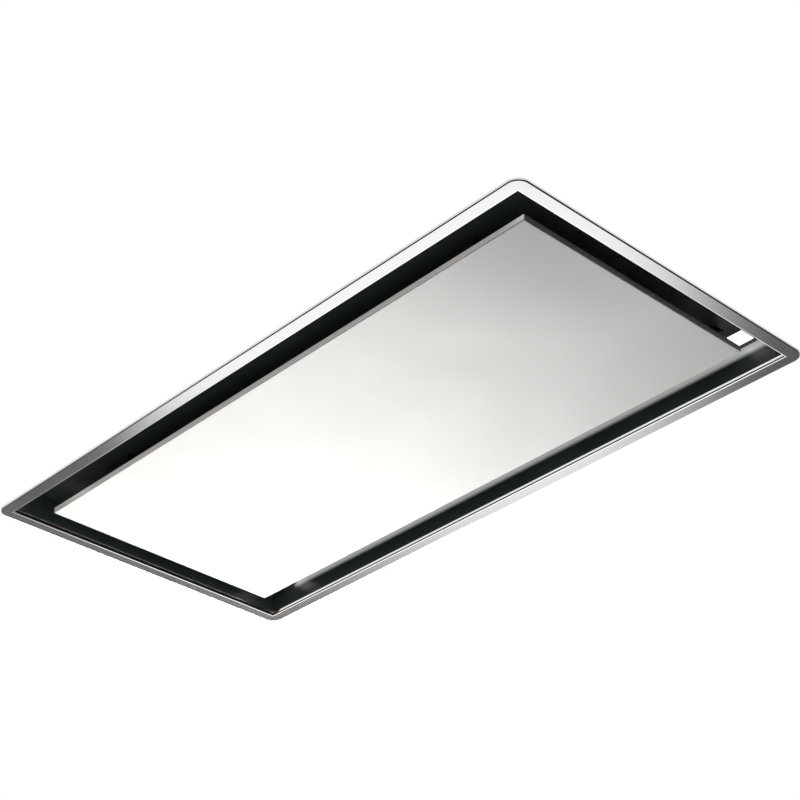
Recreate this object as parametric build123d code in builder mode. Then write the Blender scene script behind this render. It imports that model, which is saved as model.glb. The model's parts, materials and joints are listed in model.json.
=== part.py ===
from build123d import *
import os
from math import cos, radians, sin, sqrt

os.makedirs("parts", exist_ok=True)

# Recessed ceiling hood. Millimetres, +Z up, origin at the centre of the trim's visible lower face.
# "front" is the -Y side, "back" the +Y side, "left" -X and "right" +X.

# ---------------------------------------------------------------- driving dimensions
# trim frame
flange_length = 1000.0
flange_width = 500.0
flange_corner = 17.0
flange_face = 18.5  # visible width from the outer edge to the opening
trim_sheet = 1.2
rim_height = 4.0
hem_width = 6.0
lip_round = 1.4
lip_lean = 0.9  # how far the middle of the lip falls back
lip_groove_z = 4.2
lip_bead_z = 4.9
lip_height = 6.0
web_height = 16.0
web_gap = 0.15  # between the web and the liner in front of it
seal_width = 6.0
seal_gap = 0.3  # to the hem

# casing
casing_gap = 3.0  # from the opening's edge out to the casing's inner face
casing_sheet = 1.2
casing_top = 300.0
casing_bend = 0.8
lap_start = 20.0  # lower end of the corner laps
lap_width = 16.0
field_low = 60.0  # pressed fields, from the trim's face
field_high = 270.0
field_margin = 24.0  # from the casing's corner
field_gap = 26.0  # flat sheet left between two fields
field_depth = 1.8
field_draft = 45

# recess liner
recess_depth = 42.0
liner_sheet = 1.0

# lamps
lamp_inset_x = 48.5  # from the opening's end to the lamp's centre
lamp_inset_y = 19.5
lamp_lens = 24.0
lamp_lens_height = 2.4
lamp_lens_stand = 0.4  # below the ceiling plate
lamp_body = 34.0
lamp_body_height = 13.0
lamp_fit = 0.15
lamp_lens_corner = 0.8
lamp_body_corner = 2.0
lamp_fin_pitch = 5.7
lamp_fin_gap = 2.4
lamp_fin_depth = 6.5

# filters
filter_length = 391.0
filter_width = 291.0
filter_height = 9.2
filter_gap = 1.5  # to the seat, all round
filter_drop = 0.4  # from the ceiling plate's underside up to the filter
filter_sheet = 1.0
filter_leg = 14.0
seat_bar = 12.0
seat_sheet = 1.2
seat_ledge = 8.0
seat_foot = 8.0
seat_clearance = 0.4  # above the filter
mesh_pitch = 15.4
mesh_sheet = 0.9
mesh_clearance = 0.3
tab_width = 26.0
tab_sheet = 1.2
tab_reach = 6.0
tab_spacing = 220.0

# filter latch
latch_width = 50.0
latch_length = 24.0
latch_base = 2.0
latch_grip = 5.4
latch_grip_width = 5.0
latch_grip_length = 44.0
latch_stem = 8.0
latch_stem_inset = 6.0  # from the frame's front wall
latch_lead = 2.0  # slider in front of its stem
latch_bolt_tail = 4.0  # bolt behind the stem
latch_nose = 1.6
latch_bolt_width = 20.0
latch_bolt_height = 4.0
latch_travel = 6.0
latch_reach = 4.5  # bolt beyond the filter's edge
latch_clearance = 0.3
latch_plate_width = 70.0
latch_plate_length = 38.0

# suction panel
slot_end = 32.0  # open slot between the panel and the opening's ends
slot_side = 43.0
panel_height = 9.5
panel_rise = 1.4  # panel's face above the flange's face
panel_sheet = 1.2
panel_return = 14.0
rail_width = 24.0
rail_height = 10.0
rail_sheet = 1.2
rail_inset_y = 27.0  # panel edge to the long rail's centre
rail_inset_x = 34.0

# panel hinge
hinge_inset = 12.5  # pivot from the panel's back edge
hinge_height = 24.0
hinge_eye = 7.0
hinge_pin_radius = 3.0
hinge_running = 0.05
hinge_arm_sheet = 4.0
hinge_ear_sheet = 3.0
hinge_side_gap = 0.4
hinge_ear_reach = 10.0
hinge_base = 2.0
hinge_foot_width = 22.0
hinge_foot_length = 52.0
hinge_foot_sheet = 2.0
hinge_foot_gap = 3.0  # between the eye and the foot
hinge_web_heel = 6.0  # web's end from the foot's end
hinge_web_heel_height = 4.0
hinge_web_angles = (-35.0, -30.0)  # where the web leaves the eye
hinge_tab = 8.0  # base beyond the ears

# magnetic catches
catch_inset = 119.5  # from the panel's end
catch_length = 46.0
catch_width = 16.0
catch_cap = 1.0  # holder's end above the magnet's face
magnet_length = 34.0
magnet_width = 10.0
magnet_height = 6.0
striker_length = 66.0
striker_width = 18.0
striker_sheet = 1.6
striker_corner = 3.0
catch_air = 0.3

# blower
wheel_radius = 75.0
wheel_width = 96.0
blade_depth = 14.0
blade_count = 30
blade_sheet = 1.0
blade_bow = 3.6
wheel_ring = 2.0
wheel_ring_lap = 1.0  # ring's inner edge inside the blades' roots
wheel_disc = 2.0
hub_radius = 10.0
hub_length = 22.0
hub_motor_gap = 4.0
blade_tip_inset = 0.5
volute_base = 88.0
volute_step = 11.0
volute_width = 104.0
volute_wall = 2.0
volute_outlet = 100.0
blower_height = 165.0
inlet_radius = 60.0
throat_flange = 12.0
throat_flange_sheet = 3.0
lug_radius = 6.0
lug_depth = 6.0
lug_offset = 4.5  # from the volute's outer face to the lug's centre
neck_lug_height = 80.0  # above the wheel's axis
blower_shift = 4.0  # spigot towards the front
shaft_radius = 4.0
shaft_running = 0.03
motor_radius = 42.0
motor_front = 10.0
motor_length = 56.0
shaft_nose = 3.0  # beyond the hub
shaft_depth = 40.0  # bore inside the motor
shaft_tail = 1.0  # short of the bore's end
bracket_sheet = 2.5
bracket_ring = 30.0
bracket_hole = 10.0
bracket_angles = (90, 210, 330)
bracket_arm = 16.0
isolator_circle = 73.0
isolator_radius = 7.0

# outlet spigot and non-return flaps
spigot_radius = 75.0
spigot_wall = 1.5
spigot_height = 60.0
spigot_base = 178.0
spigot_base_sheet = 3.0
spigot_corner = 8.0
spigot_ledge = 5.0
spigot_ledge_sheet = 2.0
flap_sheet = 1.2
flap_edge_gap = 2.5
flap_rest_gap = 0.3
flap_pin_radius = 1.5
flap_pin_height = 9.0  # above the spigot's base
flap_pin_inset = 0.1  # pin's ends from the neck's wall
flap_knuckle = 3.2
flap_knuckle_length = 22.0
flap_knuckle_gap = 1.0
flap_relief = 1.4

# hanging rails
hanger_inset = 105.7  # from the casing's end to the rail's centre
hanger_setback = 15.7  # rail's end from the casing's side
hanger_width = 40.0
hanger_height = 24.0
hanger_sheet = 2.0
hanger_foot = 16.0
rod_inset = 30.0  # from the rail's end
rod_hole_radius = 4.5

# control box
box_length = 180.0
box_width = 120.0
box_height = 46.0
box_wall = 2.0
box_corner = 4.0
box_post = 5.0  # half width
box_screw_inset = 8.0
box_offset = 3.5  # from the middle between spigot and rail, towards the rail
box_lid_sheet = 1.5
board_length = 150.0
board_width = 92.0
board_sheet = 1.6
board_stand = 8.0
board_post_half = 3.5
board_post_insets = (16.0, 6.0)
board_offset = 2.0  # board towards the left
terminal_size = (16.0, 50.0, 15.0)
terminal_x = 58.0  # from the board's middle
terminal_pitch = 9.0
terminal_hole = (2.6, 9.0)  # half width, depth
capacitor_radius = 14.0
capacitor_length = 46.0
capacitor_at = (-40.0, -10.0)
driver_size = (54.0, 28.0, 20.0)
driver_at = (14.0, 14.0)
driver_chamfer = 1.0
gland_radius = 8.0
gland_nut = 11.0
gland_bore = 4.5
gland_height = 32.0  # above the casing, clear of the hanging rail
gland_length = 22.0
gland_flange = 4.0
gland_nut_length = 5.0
gland_dome = 9.5
gland_flutes = 12

# ---------------------------------------------------------------- worked out from the above
opening_length = flange_length - 2 * flange_face
opening_width = flange_width - 2 * flange_face
panel_length = opening_length - 2 * slot_end
panel_width = opening_width - 2 * slot_side
web_inner = liner_sheet + web_gap
web_outer = web_inner + trim_sheet
casing_inner_length = opening_length + 2 * casing_gap
casing_inner_width = opening_width + 2 * casing_gap
casing_length = casing_inner_length + 2 * casing_sheet
casing_width = casing_inner_width + 2 * casing_sheet
plate_under = recess_depth
plate_top = plate_under + liner_sheet
ceiling_under = casing_top - casing_sheet
lamp_x = opening_length / 2 - lamp_inset_x
lamp_y = opening_width / 2 - lamp_inset_y
bay_length = filter_length + 2 * filter_gap
bay_width = filter_width + 2 * filter_gap
bay_pitch = bay_length + seat_bar
seat_length = 2 * bay_length + seat_bar
filter_bottom = plate_under + filter_drop
filter_top = filter_bottom + filter_height
seat_under_ledge = filter_top + seat_clearance
seat_top = seat_under_ledge + seat_sheet
panel_bottom = panel_rise
panel_top = panel_bottom + panel_height
panel_inside = panel_bottom + panel_sheet
rail_top = panel_inside + rail_height
rail_y = panel_width / 2 - rail_inset_y
rail_x = panel_length / 2 - rail_inset_x
hinge_y = panel_width / 2 - hinge_inset
hinge_x = rail_x
catch_x = panel_length / 2 - catch_inset
catch_y = -rail_y
hanger_x = casing_length / 2 - hanger_inset
hanger_length = casing_width - 2 * hanger_setback
rod_y = hanger_length / 2 - rod_inset
hanger_inner = hanger_x - hanger_width / 2 - hanger_foot
box_centre_x = (spigot_base / 2 + hanger_inner) / 2 + box_offset
throat_radius = spigot_radius - spigot_wall - spigot_ledge

SIDES = (("left", -1), ("right", 1))
CORNERS = (("front_left", -1, -1), ("front_right", 1, -1), ("back_left", -1, 1), ("back_right", 1, 1))


def keep(builder, name):
    """Label a finished piece and write its STEP file."""
    builder.part.label = name
    export_step(builder.part, f"parts/{name}.step")


def row(length, margin, count):
    """Evenly spaced places along one side, symmetric about its middle."""
    pitch = (length - 2 * margin) / (count - 1)
    return [-length / 2 + margin + i * pitch for i in range(count)]


# ---------------------------------------------------------------- trim frame and its seal
with BuildPart() as trim_frame:
    with BuildSketch():
        RectangleRounded(flange_length, flange_width, flange_corner)
        Rectangle(opening_length, opening_width, mode=Mode.SUBTRACT)
    extrude(amount=trim_sheet)
    # turned-up rim
    with BuildSketch():
        RectangleRounded(flange_length, flange_width, flange_corner)
        RectangleRounded(
            flange_length - 2 * trim_sheet,
            flange_width - 2 * trim_sheet,
            flange_corner - trim_sheet,
            mode=Mode.SUBTRACT,
        )
    extrude(amount=rim_height)
    # hem that lies on the ceiling
    with BuildSketch(Plane.XY.offset(rim_height - trim_sheet)):
        RectangleRounded(flange_length, flange_width, flange_corner)
        RectangleRounded(
            flange_length - 2 * hem_width,
            flange_width - 2 * hem_width,
            flange_corner - hem_width,
            mode=Mode.SUBTRACT,
        )
    extrude(amount=trim_sheet)
    # lip round the opening, and behind it the web that stands up behind the liner
    with BuildSketch():
        Rectangle(opening_length + 2 * web_outer, opening_width + 2 * web_outer)
        Rectangle(opening_length, opening_width, mode=Mode.SUBTRACT)
    extrude(amount=lip_height)
    with BuildSketch(Plane.XY.offset(lip_height)):
        Rectangle(opening_length + 2 * web_outer, opening_width + 2 * web_outer)
        Rectangle(opening_length + 2 * web_inner, opening_width + 2 * web_inner, mode=Mode.SUBTRACT)
    extrude(amount=web_height - lip_height)
    # groove between the lip's two beads
    for edge_z in (lip_round, lip_bead_z):
        with BuildSketch(Plane.XY.offset(edge_z)):
            Rectangle(opening_length, opening_width)
        with BuildSketch(Plane.XY.offset(lip_groove_z)):
            Rectangle(opening_length + 2 * lip_lean, opening_width + 2 * lip_lean)
        loft(ruled=True, mode=Mode.SUBTRACT)
    lip_edges = (
        trim_frame.faces()
        .sort_by(Axis.Z)[0]
        .inner_wires()[0]
        .edges()
    )
    fillet(lip_edges, radius=0.9 * lip_round)
keep(trim_frame, "trim_frame")

with BuildPart() as edge_seal:
    seal_outer_x = flange_length - 2 * (hem_width + seal_gap)
    seal_outer_y = flange_width - 2 * (hem_width + seal_gap)
    with BuildSketch(Plane.XY.offset(trim_sheet)):
        RectangleRounded(seal_outer_x, seal_outer_y, flange_corner - hem_width - seal_gap)
        Rectangle(seal_outer_x - 2 * seal_width, seal_outer_y - 2 * seal_width, mode=Mode.SUBTRACT)
    extrude(amount=rim_height - trim_sheet)
keep(edge_seal, "edge_seal")

# ---------------------------------------------------------------- casing
wire_hole = (box_centre_x - box_length / 4, 0)
spigot_y = volute_step + volute_base + 2 * volute_step - volute_outlet / 2
blower_y = -spigot_y / 2 - blower_shift
spigot_centre = (0.0, blower_y + spigot_y)
with BuildPart() as casing_top_sheet:
    with BuildSketch(Plane.XY.offset(ceiling_under)):
        Rectangle(casing_length, casing_width)
        with Locations(spigot_centre):
            Circle(throat_radius, mode=Mode.SUBTRACT)
        with Locations(wire_hole):
            Circle(gland_radius, mode=Mode.SUBTRACT)
    extrude(amount=casing_sheet)
keep(casing_top_sheet, "casing_top")


def field_outlines(wall, span, count):
    """Outlines of the stiffening fields of a wall, drawn in the given plane."""
    pitch = (span - 2 * field_margin) / count
    with BuildSketch(wall) as outlines:
        with Locations((0, (field_low + field_high) / 2)):
            with GridLocations(pitch, 0, count, 1):
                Rectangle(pitch - field_gap, field_high - field_low)
    return outlines.sketch


for name, sy in (("front", -1), ("back", 1)):
    with BuildPart() as long_sheet:
        with BuildSketch(Plane.XY.offset(trim_sheet)):
            with Locations((0, sy * casing_width / 2)):
                Rectangle(
                    casing_length + 2 * casing_sheet,
                    casing_sheet,
                    align=(Align.CENTER, Align.MAX if sy > 0 else Align.MIN),
                )
        extrude(amount=ceiling_under - trim_sheet)
        corner_edges = long_sheet.edges().filter_by(Axis.Z).group_by(Axis.Y)[-1 if sy > 0 else 0]
        chamfer(corner_edges, length=casing_bend)
        # fields pressed outward
        wall = Plane(origin=(0, sy * casing_width / 2, 0), x_dir=(-sy, 0, 0), z_dir=(0, sy, 0))
        raised = field_outlines(wall, casing_length, 5)
        hollow = field_outlines(wall.offset(-casing_sheet), casing_length, 5)
        extrude(raised, amount=field_depth, taper=field_draft)
        extrude(hollow, amount=field_depth, taper=field_draft, mode=Mode.SUBTRACT)
    keep(long_sheet, f"casing_{name}")

for name, sx in SIDES:
    with BuildPart() as short_sheet:
        with BuildSketch(Plane.XY.offset(trim_sheet)):
            with Locations((sx * casing_length / 2, 0)):
                Rectangle(
                    casing_sheet,
                    casing_inner_width,
                    align=(Align.MAX if sx > 0 else Align.MIN, Align.CENTER),
                )
        extrude(amount=ceiling_under - trim_sheet)
        # end laps of the long sheets, folded round onto the short one
        with BuildSketch(Plane.XY.offset(lap_start)):
            for sy in (-1, 1):
                with Locations((sx * casing_length / 2, sy * casing_inner_width / 2)):
                    Rectangle(
                        casing_sheet,
                        lap_width,
                        align=(Align.MIN if sx > 0 else Align.MAX, Align.MAX if sy > 0 else Align.MIN),
                    )
        extrude(amount=ceiling_under - lap_start)
        wall = Plane(origin=(sx * casing_length / 2, 0, 0), x_dir=(0, sx, 0), z_dir=(sx, 0, 0))
        raised = field_outlines(wall, casing_inner_width, 2)
        hollow = field_outlines(wall.offset(-casing_sheet), casing_inner_width, 2)
        extrude(raised, amount=field_depth, taper=field_draft)
        extrude(hollow, amount=field_depth, taper=field_draft, mode=Mode.SUBTRACT)
    keep(short_sheet, f"casing_{name}")

# ---------------------------------------------------------------- recess liner and filter seat
seat_outer_x = seat_length + 2 * seat_sheet
seat_outer_y = bay_width + 2 * seat_sheet
hinge_base_length = 2 * hinge_ear_reach
hinge_ear_offset = hinge_arm_sheet / 2 + hinge_side_gap + hinge_ear_sheet / 2
hinge_base_width = 2 * (hinge_ear_offset + hinge_tab) + hinge_ear_sheet

for name, sy in (("front", -1), ("back", 1)):
    with BuildPart() as long_wall_sheet:
        with BuildSketch(Plane.XY.offset(lip_height)):
            with Locations((0, sy * opening_width / 2)):
                Rectangle(
                    opening_length + 2 * liner_sheet,
                    liner_sheet,
                    align=(Align.CENTER, Align.MIN if sy > 0 else Align.MAX),
                )
        extrude(amount=plate_under - lip_height)
    keep(long_wall_sheet, f"recess_wall_{name}")

for name, sx in SIDES:
    with BuildPart() as short_wall_sheet:
        with BuildSketch(Plane.XY.offset(lip_height)):
            with Locations((sx * opening_length / 2, 0)):
                Rectangle(
                    liner_sheet,
                    opening_width,
                    align=(Align.MIN if sx > 0 else Align.MAX, Align.CENTER),
                )
        extrude(amount=plate_under - lip_height)
    keep(short_wall_sheet, f"recess_wall_{name}")

with BuildPart() as recess_plate:
    # two filter bays, four lamp holes
    with BuildSketch(Plane.XY.offset(plate_under)):
        Rectangle(casing_inner_length, casing_inner_width)
        with GridLocations(bay_pitch, 0, 2, 1):
            Rectangle(bay_length, bay_width, mode=Mode.SUBTRACT)
        with GridLocations(2 * lamp_x, 2 * lamp_y, 2, 2):
            Rectangle(lamp_lens + 2 * lamp_fit, lamp_lens + 2 * lamp_fit, mode=Mode.SUBTRACT)
    extrude(amount=liner_sheet)
keep(recess_plate, "recess_plate")

slot_low = plate_top + seat_sheet
slot_high = slot_low + latch_bolt_height + 2 * latch_clearance
tab_low = slot_low + latch_clearance
with BuildPart() as filter_seat:
    # foot that lies on the ceiling plate
    with BuildSketch(Plane.XY.offset(plate_top)):
        Rectangle(seat_outer_x, seat_outer_y + 2 * seat_foot)
        with GridLocations(bay_pitch, 0, 2, 1):
            Rectangle(bay_length, bay_width, mode=Mode.SUBTRACT)
    extrude(amount=seat_sheet)
    # upright walls and the bar between the bays
    with BuildSketch(Plane.XY.offset(plate_top)):
        Rectangle(seat_outer_x, seat_outer_y)
        with GridLocations(bay_pitch, 0, 2, 1):
            Rectangle(bay_length, bay_width, mode=Mode.SUBTRACT)
    extrude(amount=seat_top - plate_top)
    # hollow of the bar, open to the top
    with BuildSketch(Plane.XY.offset(plate_top + seat_sheet)):
        Rectangle(seat_bar - 2 * seat_sheet, bay_width)
    extrude(amount=seat_top - plate_top - seat_sheet, mode=Mode.SUBTRACT)
    # ledge above each filter
    with BuildSketch(Plane.XY.offset(seat_under_ledge)):
        with GridLocations(bay_pitch, 0, 2, 1):
            Rectangle(bay_length, bay_width)
            Rectangle(bay_length - 2 * seat_ledge, bay_width - 2 * seat_ledge, mode=Mode.SUBTRACT)
    extrude(amount=seat_sheet)
    # slots for the tabs at the back and for the latch bolt at the front
    with BuildSketch(Plane.XZ.offset(-bay_width / 2)):
        for bay in (-1, 1):
            for tab in (-1, 1):
                with Locations((bay * bay_pitch / 2 + tab * tab_spacing / 2, (slot_low + slot_high) / 2)):
                    Rectangle(tab_width + 4 * latch_clearance, slot_high - slot_low)
    extrude(amount=-seat_sheet, mode=Mode.SUBTRACT)
    with BuildSketch(Plane.XZ.offset(bay_width / 2)):
        for bay in (-1, 1):
            with Locations((bay * bay_pitch / 2, (slot_low + slot_high) / 2)):
                Rectangle(latch_bolt_width + 4 * latch_clearance, slot_high - slot_low)
    extrude(amount=seat_sheet, mode=Mode.SUBTRACT)
keep(filter_seat, "filter_seat")

# ---------------------------------------------------------------- grease filters
front_edge = -filter_width / 2
stem_y = front_edge + filter_sheet + latch_stem_inset  # front face of the latch's stem
slot_length = latch_stem + latch_travel + 2 * latch_clearance
bolt_back = stem_y + latch_stem + latch_bolt_tail
latch_top = filter_bottom - latch_clearance
wave_rise = (filter_height - 2 * filter_sheet - mesh_sheet) / 2 - mesh_clearance
wave_centre = filter_bottom + filter_height / 2
mesh_reach_x = filter_length - 2 * filter_sheet - 2 * mesh_clearance
mesh_reach_y = filter_width - 2 * filter_sheet - 2 * mesh_clearance
wave_count = int(mesh_reach_x / mesh_pitch)

for side, sx in SIDES:
    bay_x = sx * bay_pitch / 2
    with BuildPart() as filter_frame:
        # channel round the four sides, open towards the mesh
        with BuildSketch(Plane.XY.offset(filter_bottom)):
            with Locations((bay_x, 0)):
                Rectangle(filter_length, filter_width)
                Rectangle(filter_length - 2 * filter_leg, filter_width - 2 * filter_leg, mode=Mode.SUBTRACT)
        extrude(amount=filter_height)
        with BuildSketch(Plane.XY.offset(filter_bottom + filter_sheet)):
            with Locations((bay_x, 0)):
                Rectangle(filter_length - 2 * filter_sheet, filter_width - 2 * filter_sheet)
        extrude(amount=filter_height - 2 * filter_sheet, mode=Mode.SUBTRACT)
        # plate that carries the latch, with the slot its stem slides in
        with BuildSketch(Plane.XY.offset(filter_bottom)):
            with Locations((bay_x, front_edge)):
                Rectangle(latch_plate_width, latch_plate_length, align=(Align.CENTER, Align.MIN))
        extrude(amount=filter_sheet)
        with BuildSketch(Plane.XY.offset(filter_bottom)):
            with Locations((bay_x, stem_y - latch_clearance)):
                Rectangle(latch_stem + 2 * latch_clearance, slot_length, align=(Align.CENTER, Align.MIN))
        extrude(amount=filter_sheet, mode=Mode.SUBTRACT)
        # gate for the bolt in the front wall
        with BuildSketch(Plane.XZ.offset(-front_edge)):
            with Locations((bay_x, slot_low)):
                Rectangle(
                    latch_bolt_width + 4 * latch_clearance,
                    latch_bolt_height + 2 * latch_clearance,
                    align=(Align.CENTER, Align.MIN),
                )
        extrude(amount=-filter_sheet, mode=Mode.SUBTRACT)
        # tabs that hook into the seat at the back
        with BuildSketch(Plane.XY.offset(tab_low)):
            for tab in (-1, 1):
                with Locations((bay_x + tab * tab_spacing / 2, -front_edge - filter_sheet)):
                    Rectangle(tab_width, tab_reach + filter_sheet, align=(Align.CENTER, Align.MIN))
        extrude(amount=tab_sheet)
    keep(filter_frame, f"filter_frame_{side}")

    with BuildPart() as filter_mesh:
        # pleated pack: a wave drawn across the filter and run from front to back
        with BuildSketch(Plane.XZ.offset(-mesh_reach_y / 2)):
            with BuildLine():
                wave_start = bay_x - wave_count * mesh_pitch / 2
                crest = [
                    (wave_start + i * mesh_pitch / 2, wave_centre + (wave_rise if i % 2 else -wave_rise))
                    for i in range(2 * wave_count + 1)
                ]
                Polyline(
                    *[(x, z + mesh_sheet / 2) for x, z in crest],
                    *[(x, z - mesh_sheet / 2) for x, z in reversed(crest)],
                    close=True,
                )
            make_face()
        extrude(amount=mesh_reach_y)
        # notch round the latch
        with BuildSketch(Plane.XY.offset(filter_bottom)):
            with Locations((bay_x, front_edge)):
                Rectangle(latch_plate_width, latch_plate_length, align=(Align.CENTER, Align.MIN))
        extrude(amount=filter_height, mode=Mode.SUBTRACT)
    keep(filter_mesh, f"filter_mesh_{side}")

    with BuildPart() as filter_latch:
        # slider under the frame, with its finger grip
        with BuildSketch(Plane.XY.offset(latch_top)):
            with Locations((bay_x, stem_y - latch_lead)):
                Rectangle(latch_width, latch_length, align=(Align.CENTER, Align.MIN))
        extrude(amount=-latch_base)
        with BuildSketch(Plane.XY.offset(latch_top)):
            with Locations((bay_x, stem_y - latch_lead + latch_length)):
                Rectangle(latch_grip_length, latch_grip_width, align=(Align.CENTER, Align.MAX))
        extrude(amount=-latch_grip)
        # stem through the slot
        with BuildSketch(Plane.XY.offset(latch_top)):
            with Locations((bay_x, stem_y)):
                Rectangle(latch_stem, latch_stem, align=(Align.CENTER, Align.MIN))
        extrude(amount=slot_low + latch_clearance - latch_top)
        # bolt inside the channel, its nose bevelled below
        with BuildSketch(Plane.XY.offset(slot_low + latch_clearance)):
            with Locations((bay_x, front_edge - latch_reach)):
                Rectangle(
                    latch_bolt_width,
                    bolt_back - front_edge + latch_reach,
                    align=(Align.CENTER, Align.MIN),
                )
        extrude(amount=latch_bolt_height)
        nose = filter_latch.edges().filter_by(Axis.X).group_by(Axis.Y)[0].sort_by(Axis.Z)[-1]
        chamfer(nose, length=latch_nose)
    keep(filter_latch, f"filter_latch_{side}")

# ---------------------------------------------------------------- lamps
for corner, sx, sy in CORNERS:
    lamp_at = (sx * lamp_x, sy * lamp_y)
    with BuildPart() as lamp_glass:
        with BuildSketch(Plane.XY.offset(plate_under - lamp_lens_stand)):
            with Locations(lamp_at):
                Rectangle(lamp_lens, lamp_lens)
        extrude(amount=lamp_lens_height)
        chamfer(lamp_glass.edges().filter_by(Axis.Z), length=lamp_lens_corner)
    keep(lamp_glass, f"lamp_lens_{corner}")

    with BuildPart() as lamp_can:
        lamp_offset = (sx * lamp_x, sy * (lamp_y - (lamp_body - lamp_lens) / 2 + lamp_fit))
        with BuildSketch(Plane.XY.offset(plate_top)):
            with Locations(lamp_offset):
                Rectangle(lamp_body, lamp_body)
        extrude(amount=lamp_body_height)
        chamfer(lamp_can.edges().filter_by(Axis.Z), length=lamp_body_corner)
        # pocket for the lens
        with BuildSketch(Plane.XY.offset(plate_top)):
            with Locations(lamp_at):
                Rectangle(lamp_lens + 2 * lamp_fit, lamp_lens + 2 * lamp_fit)
        extrude(amount=lamp_lens_height - lamp_lens_stand - liner_sheet, mode=Mode.SUBTRACT)
        # cooling fins
        with BuildSketch(Plane.XY.offset(plate_top + lamp_body_height)):
            with Locations(lamp_offset):
                with GridLocations(lamp_fin_pitch, 0, 5, 1):
                    Rectangle(lamp_fin_gap, lamp_body)
        extrude(amount=-lamp_fin_depth, mode=Mode.SUBTRACT)
    keep(lamp_can, f"lamp_body_{corner}")

# ---------------------------------------------------------------- suction panel
with BuildPart() as panel_skin:
    with BuildSketch(Plane.XY.offset(panel_bottom)):
        Rectangle(panel_length, panel_width)
    extrude(amount=panel_height)
    with BuildSketch(Plane.XY.offset(panel_inside)):
        Rectangle(panel_length - 2 * panel_sheet, panel_width - 2 * panel_sheet)
    extrude(amount=panel_height - 2 * panel_sheet, mode=Mode.SUBTRACT)
    with BuildSketch(Plane.XY.offset(panel_top)):
        Rectangle(panel_length - 2 * panel_return, panel_width - 2 * panel_return)
    extrude(amount=-panel_sheet, mode=Mode.SUBTRACT)
keep(panel_skin, "panel_skin")

cross_rails = (-rail_x, 0.0, rail_x)
foot_back = hinge_y - hinge_eye - hinge_foot_gap
foot_front = foot_back - hinge_foot_length
with BuildPart() as panel_stiffener:
    # ladder of channel rails, open towards the skin
    for inset in (0.0, rail_sheet):
        with BuildSketch(Plane.XY.offset(panel_inside)):
            with Locations((0, rail_y), (0, -rail_y)):
                Rectangle(2 * rail_x + rail_width - 2 * inset, rail_width - 2 * inset)
            with Locations(*[(x, 0) for x in cross_rails]):
                Rectangle(rail_width - 2 * inset, 2 * rail_y + rail_width - 2 * inset)
        extrude(amount=rail_height - inset, mode=Mode.SUBTRACT if inset else Mode.ADD)
keep(panel_stiffener, "panel_stiffener")

with BuildPart() as catch_strikers:
    with BuildSketch(Plane.XY.offset(rail_top)):
        with Locations((-catch_x, catch_y), (catch_x, catch_y)):
            Rectangle(striker_length, striker_width)
    extrude(amount=striker_sheet)
    chamfer(catch_strikers.edges().filter_by(Axis.Z), length=striker_corner)
keep(catch_strikers, "catch_strikers")

# ---------------------------------------------------------------- panel hinges
for side, sx in SIDES:
    pivot_x = sx * hinge_x
    with BuildPart() as hinge_arm:
        # foot on the panel's stiffener
        with BuildSketch(Plane.XY.offset(rail_top)):
            with Locations((pivot_x, foot_back)):
                Rectangle(hinge_foot_width, hinge_foot_length, align=(Align.CENTER, Align.MAX))
        extrude(amount=hinge_foot_sheet)
        # upright web that ends in the eye
        with BuildSketch(Plane.YZ.offset(pivot_x - hinge_arm_sheet / 2)):
            with BuildLine():
                low, high = (radians(angle) for angle in hinge_web_angles)
                web_front = foot_front + hinge_web_heel
                Polyline(
                    (foot_back, rail_top),
                    (hinge_y + hinge_eye * sin(low), hinge_height - hinge_eye * cos(low)),
                    (hinge_y, hinge_height),
                    (hinge_y + hinge_eye * sin(high), hinge_height + hinge_eye * cos(high)),
                    (web_front, rail_top + hinge_web_heel_height),
                    (web_front, rail_top),
                    close=True,
                )
            make_face()
            with Locations((hinge_y, hinge_height)):
                Circle(hinge_eye)
                Circle(hinge_pin_radius + hinge_running, mode=Mode.SUBTRACT)
        extrude(amount=hinge_arm_sheet)
    keep(hinge_arm, f"hinge_arm_{side}")

    with BuildPart() as hinge_bracket:
        with BuildSketch(Plane.XY.offset(plate_under)):
            with Locations((pivot_x, hinge_y)):
                Rectangle(hinge_base_width, hinge_base_length)
        extrude(amount=-hinge_base)
        for ear in (-1, 1):
            ear_x = pivot_x + ear * hinge_ear_offset - hinge_ear_sheet / 2
            with BuildSketch(Plane.YZ.offset(ear_x)):
                with BuildLine():
                    Polyline(
                        (hinge_y - hinge_ear_reach, plate_under),
                        (hinge_y - hinge_eye, hinge_height - hinge_eye / 2),
                        (hinge_y - hinge_eye / 2, hinge_height - hinge_eye),
                        (hinge_y + hinge_eye / 2, hinge_height - hinge_eye),
                        (hinge_y + hinge_eye, hinge_height - hinge_eye / 2),
                        (hinge_y + hinge_ear_reach, plate_under),
                        close=True,
                    )
                make_face()
                with Locations((hinge_y, hinge_height)):
                    Circle(hinge_pin_radius, mode=Mode.SUBTRACT)
            extrude(amount=hinge_ear_sheet)
    keep(hinge_bracket, f"hinge_bracket_{side}")

with BuildPart() as hinge_pins:
    pin_half = hinge_ear_offset + hinge_ear_sheet / 2
    for _, sx in SIDES:
        with BuildSketch(Plane.YZ.offset(sx * hinge_x - pin_half)):
            with Locations((hinge_y, hinge_height)):
                Circle(hinge_pin_radius)
        extrude(amount=2 * pin_half)
keep(hinge_pins, "hinge_pins")

# ---------------------------------------------------------------- magnetic catches
magnet_under = rail_top + striker_sheet + catch_air
with BuildPart() as catch_magnets:
    with BuildSketch(Plane.XY.offset(magnet_under)):
        with Locations((-catch_x, catch_y), (catch_x, catch_y)):
            Rectangle(magnet_length, magnet_width)
    extrude(amount=magnet_height)
keep(catch_magnets, "catch_magnets")

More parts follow.
